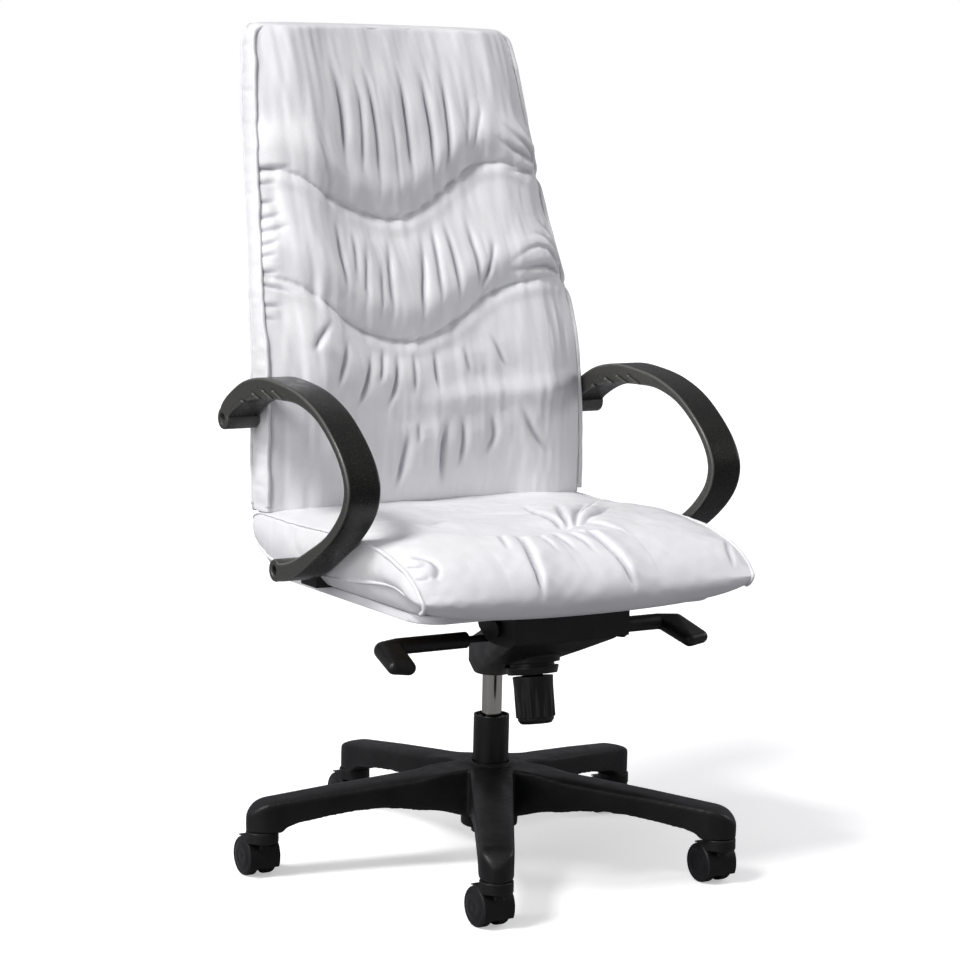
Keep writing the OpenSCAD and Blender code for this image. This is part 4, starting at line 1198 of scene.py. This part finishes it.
def make_arm(sign, name, node):
    c = catmull(ARM_PATH, 16)
    # finer steps where the grip grooves are
    d = np.r_[0, np.cumsum(np.hypot(*np.diff(c[:, :2], axis=0).T))]
    s, out = 0.0, []
    while s < d[-1]:
        y = np.interp(s, d, c[:, 0])
        out.append(s)
        s += 1.1 if 30 < y < 175 and np.interp(s, d, c[:, 1]) > 640 else 3.2
    out.append(d[-1])
    ss = np.array(out)
    y, z, t = (np.interp(ss, d, c[:, k]) for k in range(3))
    for _ in range(4):
        for q in (y, z, t):
            q[1:-1] = (q[:-2] + 2 * q[1:-1] + q[2:]) / 4
    ty, tz = np.gradient(y, ss), np.gradient(z, ss)
    l = np.hypot(ty, tz)
    ny, nz = -tz / l, ty / l
    x0, x1 = 264.0, 314.0
    # section: across x and through the thickness q in 0..1, rounded corners
    sec = []
    rad = 4.2
    ns, nf = 16, 12
    for i in range(len(ss)):
        th = t[i]
        r = min(rad, th * 0.42)
        pts = []
        for (cx, cq, a0) in ((x1 - r, r, -90), (x1 - r, th - r, 0), (x0 + r, th - r, 90), (x0 + r, r, 180)):
            for a in np.radians(a0 + np.array([0, 18, 36, 54, 72, 90])):
                pts.append((cx + r * math.cos(a), cq + r * math.sin(a)))
        # subdivide the straight sides evenly
        ring = []
        m = len(pts)
        for k in range(m):
            p, q = pts[k], pts[(k + 1) % m]
            ring.append(p)
            if (k + 1) % 6 == 0:
                cnt = ns if (k // 6) % 2 == 0 else nf
                for e in range(1, cnt):
                    ring.append((p[0] + (q[0] - p[0]) * e / cnt, p[1] + (q[1] - p[1]) * e / cnt))
        sec.append(ring)
    sec = np.array(sec)
    x, q = sec[:, :, 0], sec[:, :, 1]
    # a crown across the broad faces is worked out, but it is scaled to nothing and the faces stay flat
    across = (x - 289) / 25
    crown = 1.1 * (1 - across ** 2)
    mid = q / t[:, None] - 0.5
    q = q - np.sign(-mid) * 0 + np.where(mid < -0.2, -crown * 0.0, 0.0)
    Y = y[:, None] + ny[:, None] * q
    Z = z[:, None] + nz[:, None] * q
    # grip grooves cut slanting into both side faces near the rear top
    depth = np.zeros_like(x)
    for (ya, za, yb, zb) in ((164, 648, 127, 640), (131, 661, 100, 652), (102, 668, 73, 659), (73, 671, 44, 661)):
        dy, dz = yb - ya, zb - za
        ll = dy * dy + dz * dz
        tt = np.clip(((Y - ya) * dy + (Z - za) * dz) / ll, 0, 1)
        dist = np.hypot(Y - ya - tt * dy, Z - za - tt * dz)
        depth = np.maximum(depth, 3.4 * np.exp(-(dist / 2.1) ** 4))
    edge_face = ramp(22.0, 24.6, np.abs(x - 289))
    X = x - np.sign(x - 289) * depth * edge_face
    v = np.stack([sign * X, Y, Z], -1)
    n, m = v.shape[:2]
    idx = np.arange(n * m).reshape(n, m)
    faces = []
    for i in range(n - 1):
        a, b = idx[i], idx[i + 1]
        faces += np.stack([a, np.roll(a, -1), np.roll(b, -1), b], 1).tolist()
    faces.append(idx[0].tolist())
    faces.append(idx[-1].tolist()[::-1])
    body = (v.reshape(-1, 3), faces)
    ob = make(name, body[0], body[1], ARM)
    # screw bosses at both ends, each with a recessed, rimmed hole
    for k, (by, bz) in enumerate(((222, 616), (62, 427))):
        prof = [(264.0, 14.6), (265.0, 15.6), (311.5, 15.6), (313.2, 14.8), (314.0, 13.4), (314.0, 9.4), (313.4, 8.4), (312.4, 7.6), (301.0, 7.2), (300.4, 6.4)]
        prof = [(264.0, 0.0)] + prof + [(300.4, 0.0)]
        vv, ff = lathe([(sign * a, r) for a, r in prof], (0, by, bz), "X", 48)
        cut_prof = [(300.2, 0.0), (300.2, 7.3), (313.0, 7.6), (316.5, 9.0), (316.5, 0.0)]
        cv, cf = lathe([(sign * a, r) for a, r in cut_prof], (0, by, bz), "X", 48)
        boss = make("boss_tmp", vv, ff, ARM)
        cut = make("cut_tmp", cv, cf, ARM)
        for other, op in ((boss, "UNION"), (cut, "DIFFERENCE")):
            b = ob.modifiers.new(op, "BOOLEAN")
            b.operation, b.object, b.solver = op, other, "EXACT"
            bake_modifiers(ob)
        for o in (boss, cut):
            bpy.data.objects.remove(o)
    me = ob.data
    sharpen(me, 38)
    co = coords(me) * 1000
    ax = np.abs(co[:, 0])
    # painted highlight lines run along both outer edges of the broad faces, drawn paler in the arm's colour
    rim = np.exp(-((ax - 312.6) / 1.3) ** 2) + np.exp(-((ax - 265.4) / 1.3) ** 2)
    attribute(me, "edge", np.clip(rim, 0, 1))
    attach(ob, "seat")
    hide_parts(node)
    return ob


# ---------------------------------------------------------------- base, casters, mechanism
def soft_cad(node, name, voxel, mat, body, iterations=5):
    ob = remesh_copy(node, name, voxel, mat, iterations)
    me = ob.data
    attribute(me, "edge", np.zeros(len(me.vertices)))
    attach(ob, body)
    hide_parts(node)
    return ob


def edge_wear(ob, rad=1.0):
    """Paler where the surface turns sharply outward: the mean of the neighbours lies below the point."""
    me = ob.data
    co, no = coords(me), normals(me)
    ne = len(me.edges)
    e = np.zeros(ne * 2, np.int32)
    me.edges.foreach_get("vertices", e)
    e = e.reshape(-1, 2)
    for _ in range(1):
        acc = np.zeros_like(co)
        cnt = np.zeros(len(co))
        np.add.at(acc, e[:, 0], co[e[:, 1]])
        np.add.at(acc, e[:, 1], co[e[:, 0]])
        np.add.at(cnt, e[:, 0], 1)
        np.add.at(cnt, e[:, 1], 1)
    lap = acc / np.maximum(cnt, 1)[:, None] - co
    d = -(lap * no).sum(1)
    size = np.linalg.norm(co[e[:, 0]] - co[e[:, 1]], axis=1).mean()
    k = np.clip(d / (size * 0.16 * rad), 0, 1)
    for _ in range(2):
        s = k.copy()
        np.add.at(s, e[:, 0], k[e[:, 1]])
        np.add.at(s, e[:, 1], k[e[:, 0]])
        k = s / (cnt + 1)
    attribute(me, "edge", k)


def make_base():
    ob = soft_cad("base_star", "base_star_moulding", 1.7, NYLON, "base", 16)
    # each leg rounds off at its tip and along its two upper edges
    co = coords(ob.data) * 1000
    for k in range(5):
        a = math.radians(-120 + 72 * k)
        al = co[:, 0] * math.cos(a) + co[:, 1] * math.sin(a)
        la = -co[:, 0] * math.sin(a) + co[:, 1] * math.cos(a)
        leg = (al > 60) & (np.abs(la) < 0.65 * al) & (np.abs(la) < 40)
        tip = np.clip((al - 318) / 32, 0, 1) * leg
        high = ramp(62, 92, co[:, 2])
        round_x = np.clip(np.abs(la) / 26, 0, 1) ** 3 * ramp(70, 120, al) * leg
        co[:, 2] -= (11 * tip ** 2.2 + 4.5 * round_x) * high
        pull = 5.0 * tip ** 1.6 * np.sign(la) * np.clip(np.abs(la) / 22, 0, 1)
        co[:, 0] += pull * math.sin(a)
        co[:, 1] -= pull * math.cos(a)
    put(ob.data, co / 1000)
    edge_wear(ob)


STEMS = [(330 * math.cos(math.radians(-120 + 72 * k)), 330 * math.sin(math.radians(-120 + 72 * k))) for k in range(5)]


def wheel_shape(side):
    """One tread wheel, axis along X; side -1 is the left wheel. Its face is domed, with a raised rim and a hub cap."""
    inner = [(7.1, 0.0), (7.1, 12.0), (8.6, 12.6), (8.6, 22.0), (7.1, 22.6), (7.1, 26.4), (7.9, 27.3), (9.5, 27.5), (12.2, 27.5), (12.8, 27.0), (13.5, 27.0), (14.1, 27.5),
             (17.4, 27.5), (19.0, 27.0), (20.3, 26.0), (21.2, 24.4), (21.6, 22.6), (21.2, 21.6), (21.3, 20.8), (21.9, 19.4), (22.5, 14.0), (22.9, 9.0), (22.6, 8.2), (22.7, 7.4), (23.1, 5.0), (23.2, 0.0)]
    return [(side * a, r) for a, r in inner]


def make_casters():
    hood_src = None
    first = None
    for k in range(5):
        n = k + 1
        sx, sy = STEMS[k]
        if first is None:
            ob = remesh_copy("caster_hood_1", "caster_hood_shape_1", 0.8, NYLON, 12)
            edge_wear(ob)
            first = (ob, sx, sy)
        else:
            me = first[0].data.copy()
            co = coords(me)
            co[:, 0] += (sx - first[1]) * MM
            co[:, 1] += (sy - first[2]) * MM
            put(me, co)
            ob = bpy.data.objects.new("caster_hood_shape_%d" % n, me)
            COL.objects.link(ob)
        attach(ob, "caster_%d" % n)
        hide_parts("caster_hood_%d" % n)
        for side, word in ((-1, "left"), (1, "right")):
            v, f = lathe(wheel_shape(side), (sx, sy + 20, 27.5), "X", 88)
            w = make("wheel_%s_shape_%d" % (word, n), v, f, WHEEL, sharp=40)
            co = coords(w.data) * 1000
            r = np.hypot(co[:, 1] - sy - 20, co[:, 2] - 27.5)
            attribute(w.data, "edge", ramp(25.2, 26.8, r))
            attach(w, "wheel_%s%d" % (word[0], n))
            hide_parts("wheel_%s_%d" % (word, n))


def make_mechanism():
    ob = soft_cad("mechanism_housing", "mechanism_shell", 1.3, STEEL, "lift", 8)
    edge_wear(ob)
    ob = soft_cad("tension_knob", "tension_knob_shape", 0.8, KNOB, "knob", 3)
    edge_wear(ob)
    ob = soft_cad("height_lever_handle", "height_lever_grip", 1.1, HANDLE, "height_lever", 8)
    edge_wear(ob)
    ob = soft_cad("lock_lever_handle", "lock_lever_grip", 1.1, HANDLE, "lock_lever", 8)
    edge_wear(ob)


def wrapped_pan():
    """The plywood pan as it leaves the upholsterer: hide turned under and stapled round a plain wooden middle."""
    ob = remesh_copy("seat_pan", "seat_pan_wrapped", 2.0, WOOD, 4)
    me = ob.data
    me.materials.append(LEATHER_TRIM)
    co = coords(me) * 1000
    lo, hi = co.min(0), co.max(0)
    c = np.zeros(len(me.polygons) * 3, np.float32)
    me.polygons.foreach_get("center", c)
    c = c.reshape(-1, 3) * 1000
    edge = np.minimum(np.minimum(c[:, 0] - lo[0], hi[0] - c[:, 0]), np.minimum(c[:, 1] - lo[1], hi[1] - c[:, 1]))
    band = 42 + 3 * noise2(c[:, 0] / 14, c[:, 1] / 14, 91)
    me.polygons.foreach_set("material_index", (edge < band).astype(np.int32))
    attribute(me, "painted_crease_shade", np.zeros(len(me.vertices)))
    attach(ob, "seat")
    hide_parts("seat_pan")


wrapped_pan()
make_back()
back_piping()
back_cover_piece()
make_seat()
make_arm(-1, "arm_left_shape", "armrest_left")
make_arm(1, "arm_right_shape", "armrest_right")
make_base()
make_casters()
make_mechanism()
